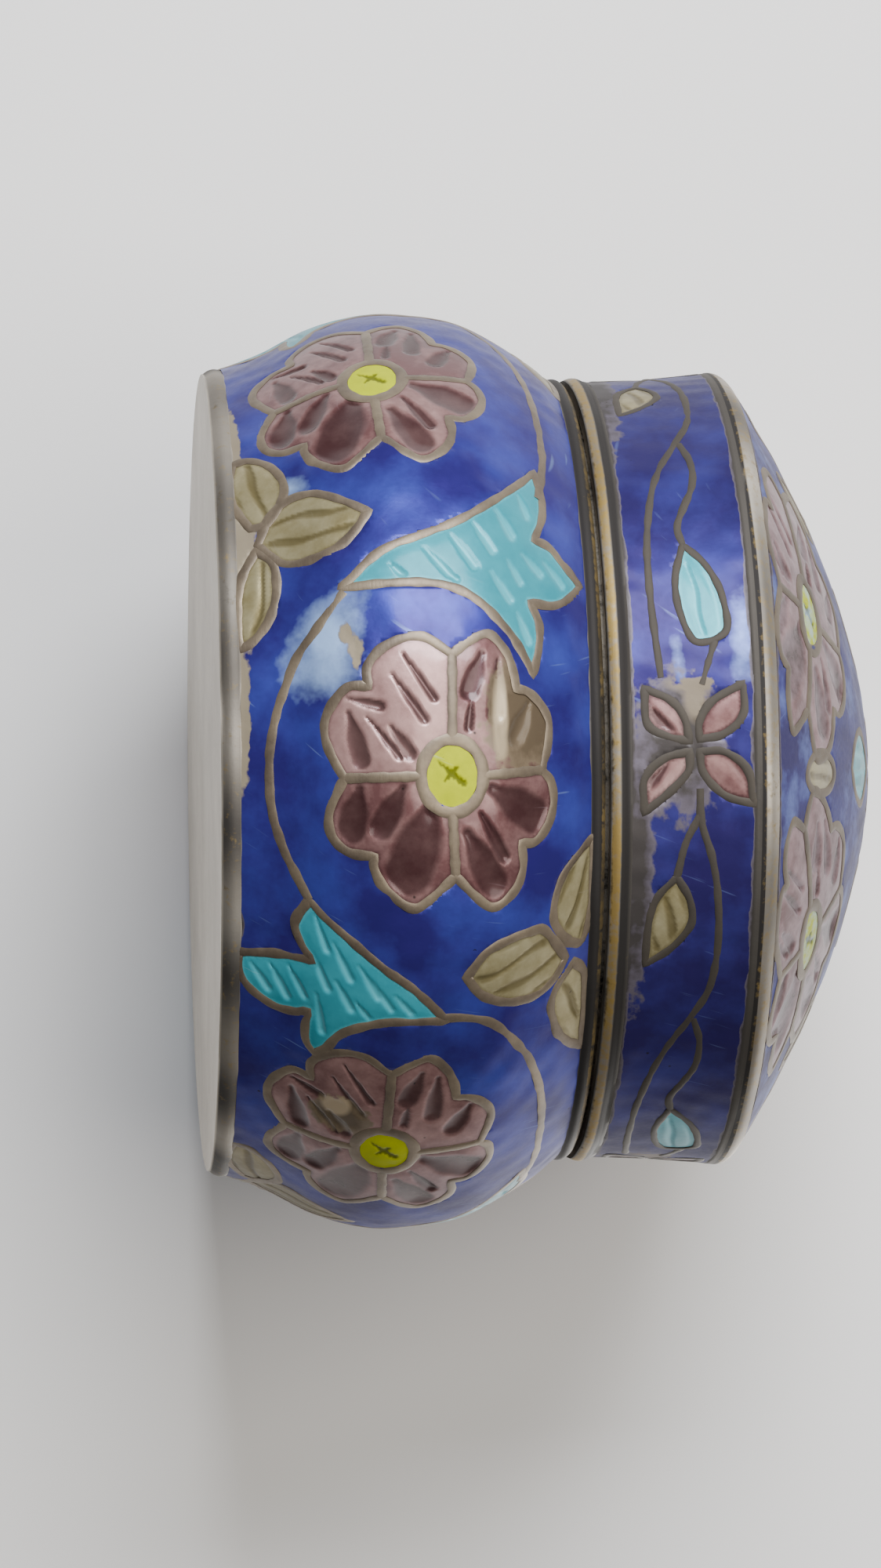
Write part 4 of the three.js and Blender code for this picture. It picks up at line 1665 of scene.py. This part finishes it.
        # Frost here paints the dome's pale grazing sheen.
        return glass_coat(self.dome.point(spread, around, np.where(top, level, -GLASS_DEPTH)), top, False,
                          tone=0.2 * ripple(around, spread, 7.0, 32), bare=0.6 * ease((spread - 24.0) / 0.6),
                          frost=0.3 + 0.12 * ripple(around, spread, 9.0, 33))

    def _quarter(self, work: Inlay, spot: Spot) -> None:
        """Lays a quarter of the band: a four-petalled blossom, a straw leaf, a turquoise leaf and their stems.

        Args:
            work: What gathers the cells and walls.
            spot: Where the blossom's plan lies.
        """
        for outline, heading in self.petals:
            work.walled_cell(Slot.AUBERGINE, outline, spot, width=0.5, hatch=Hatch(heading, 2.6, 0.4), tone=0.0,
                             seam=1.0)
        work.walled_cell(Slot.STRAW, self.straw_leaf, spot, width=self.stem_width, hatch=Hatch(75, 1.2, 0.5))
        work.walled_cell(Slot.TURQUOISE, self.turquoise_leaf, spot, width=self.stem_width, hatch=Hatch(80, 1.2, 0.5),
                         tone=0.6)
        for stem in self.stems:
            work.wall(stem.traced(), spot, width=self.stem_width)

    def _dome(self, work: Inlay) -> None:
        """Lays the dome: six flowers round the edge, straw buds between them, turquoise leaves and a middle rose.

        Args:
            work: What gathers the cells and walls.
        """
        for turn in range(6):
            angle = 60.0 * turn
            Flower().inlay(work, Spot(self.dome, 19.9, 32.0 + angle), (-0.1, 0.0, -0.05, -0.1),
                           scale=(0.58, 0.92, 1.12))
            work.walled_cell(Slot.STRAW, ellipse((2.2, 1.25), 48), Spot(self.dome, 18.9, 1.0 + angle),
                             hatch=Hatch(10, 1.2, 0.5), tone=0.3)
            work.walled_cell(Slot.TURQUOISE, self.dome_leaf, Spot(self.dome, 9.8, angle), hatch=Hatch(0, 1.2, 0.5),
                             tone=0.2)
        # Just off the axis, where a direction still has a meaning.
        rose = Spot(self.dome, 0.0001, 0.0)
        for turn in range(6):
            heading = 60 * turn + 30
            c, s = math.cos(math.radians(heading)), math.sin(math.radians(heading))
            work.walled_cell(Slot.AUBERGINE, ellipse((1.75, 1.35), 48, (3.3, 0.0)) @ np.array([(c, s), (-s, c)]),
                             rose, hatch=Hatch(heading, 1.1, 0.6), tone=0.2)
        work.walled_cell(Slot.YELLOW, ellipse((1.45, 1.45), 40), rose, width=0.7, hatch=EYE_CUTS, tone=0.2, seam=0.0)


# Stage, light and camera


@dataclass(frozen=True)
class Stage:
    """A pale floor under the box and a pale sheet that leans against its back, at a point of belly and of lid."""

    floor_level: float = -0.05
    floor_radii: tuple[float, ...] = (24.9, 120.0, 1500.0)
    sides: int = 96
    belly_back: tuple[float, float] = (29.2, 12.0)
    lid_back: tuple[float, float] = (25.0, 33.0)
    sheet_reach: tuple[float, float] = (600.0, 400.0)

    def build(self) -> None:
        """Builds the floor as a ring round the foot, and the sheet as a plane through the two points at the back."""
        card = PaleCard("Matt pale card", 0xE9E6E2).make()
        turn = np.linspace(0, 2 * math.pi, self.sides, endpoint=False)
        ring = np.stack([np.sin(turn), -np.cos(turn)], axis=1)
        rims = np.vstack([ring * radius for radius in self.floor_radii])
        points = np.column_stack([rims, np.full(len(rims), self.floor_level)])
        here = np.arange(self.sides)
        quads = np.stack([here, (here + 1) % self.sides, (here + 1) % self.sides + self.sides, here + self.sides], 1)
        self._add("floor", points, np.vstack([quads, quads + self.sides])[:, ::-1], card)
        slope = (self.lid_back[0] - self.belly_back[0]) / (self.lid_back[1] - self.belly_back[1])
        span = np.array([(-1, -1), (1, -1), (1, 1), (-1, 1)]) * self.sheet_reach
        sheet = np.stack([span[:, 0], self.belly_back[0] + slope * (span[:, 1] - self.belly_back[1]), span[:, 1]], 1)
        self._add("sheet", sheet, np.array([[0, 1, 2, 3]]), card)

    @staticmethod
    def _add(name: str, points: np.ndarray, faces: np.ndarray, material: bpy.types.Material) -> None:
        """Makes a stage object. It casts no shadow and throws no light on the box, but the sheet is reflected.

        Args:
            name: The object's name.
            points: Its points, shape (n, 3), in mm.
            faces: Its faces, by their points' places.
            material: What it is made of.
        """
        mesh = bpy.data.meshes.new(name)
        mesh.from_pydata((points * MM).tolist(), [], faces.tolist())
        mesh.materials.append(material)
        item = bpy.data.objects.new(name, mesh)
        item.visible_shadow = False
        item.visible_glossy = name == "sheet"
        item.visible_diffuse = False
        bpy.context.scene.collection.objects.link(item)


@dataclass(frozen=True)
class SoftLight:
    """A square soft light that looks at the middle of the box."""

    name: str
    place: tuple[float, float, float]
    size: float
    power: float
    colour: int
    target: tuple[float, float, float] = (0.0, 0.0, 18.0)

    def build(self) -> None:
        """Builds the light."""
        data = bpy.data.lights.new(self.name, "AREA")
        data.shape = "SQUARE"
        data.size = self.size * MM
        data.energy = self.power
        data.color = linear(self.colour)[:3]
        lamp = bpy.data.objects.new(self.name, data)
        place = Vector(self.place) * MM
        lamp.location = place
        lamp.rotation_euler = (Vector(self.target) * MM - place).to_track_quat("-Z", "Y").to_euler()
        bpy.context.scene.collection.objects.link(lamp)


LIGHTS = (SoftLight("window", (-301.0, -334.0, 60.0), 220.0, 4.7, 0xF4F8FF),
          SoftLight("room", (-40.0, -430.0, 190.0), 300.0, 1.9, 0xFFFBF4),
          SoftLight("back", (260.0, 380.0, 240.0), 300.0, 3.0, 0xFFFDFA))


@dataclass(frozen=True)
class Camera:
    """The camera: a little below the box, looking up at it, with the box's axis across the picture."""

    place: tuple[float, float, float] = (0.0, -318.547, -13.331)
    pitch: float = 5.104
    swing: float = 0.15
    roll: float = -0.45
    lens: float = 115.2

    def build(self) -> None:
        """Builds the camera: up the box is the picture's right, and +X is down in the picture."""
        pitch, swing, roll = (math.radians(angle) for angle in (self.pitch, self.swing, self.roll))
        ahead = Vector((math.sin(swing), math.cos(pitch) * math.cos(swing), math.sin(pitch) * math.cos(swing)))
        side = Vector((math.cos(swing), -math.cos(pitch) * math.sin(swing), -math.sin(pitch) * math.sin(swing)))
        rise = Vector((0.0, -math.sin(pitch), math.cos(pitch)))
        right = math.cos(roll) * rise - math.sin(roll) * side
        down = math.sin(roll) * rise + math.cos(roll) * side
        data = bpy.data.cameras.new("camera")
        data.lens = self.lens
        data.sensor_width = 36.0
        data.clip_start, data.clip_end = 0.01, 20.0
        camera = bpy.data.objects.new("camera", data)
        turn = Matrix((right, -down, -ahead)).transposed().to_4x4()
        camera.matrix_world = Matrix.Translation(Vector(self.place) * MM) @ turn
        bpy.context.scene.collection.objects.link(camera)
        bpy.context.scene.camera = camera


def light_world(colour: int, strength: float) -> None:
    """Gives the world an even pale light.

    Args:
        colour: The light's colour, 0xRRGGBB.
        strength: Its strength.
    """
    world = bpy.data.worlds.new("pale room")
    world.use_nodes = True
    world.node_tree.nodes.clear()
    sky = node(world.node_tree, "ShaderNodeBackground", {"Color": linear(colour), "Strength": strength})
    node(world.node_tree, "ShaderNodeOutputWorld", {"Surface": sky.outputs[0]})
    bpy.context.scene.world = world


def main() -> None:
    """Builds the camera, the stage, the lights, the bowl and the lid in order."""
    logging.basicConfig(level=logging.INFO, format="%(message)s")
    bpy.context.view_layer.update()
    Camera().build()
    Stage().build()
    light_world(0xF4F6FA, 0.17)
    for light in LIGHTS:
        light.build()
    finishes = Finishes().make()
    Bowl().build(finishes)
    Lid().build(finishes)
    bpy.context.view_layer.update()


if __name__ == "__main__":
    main()
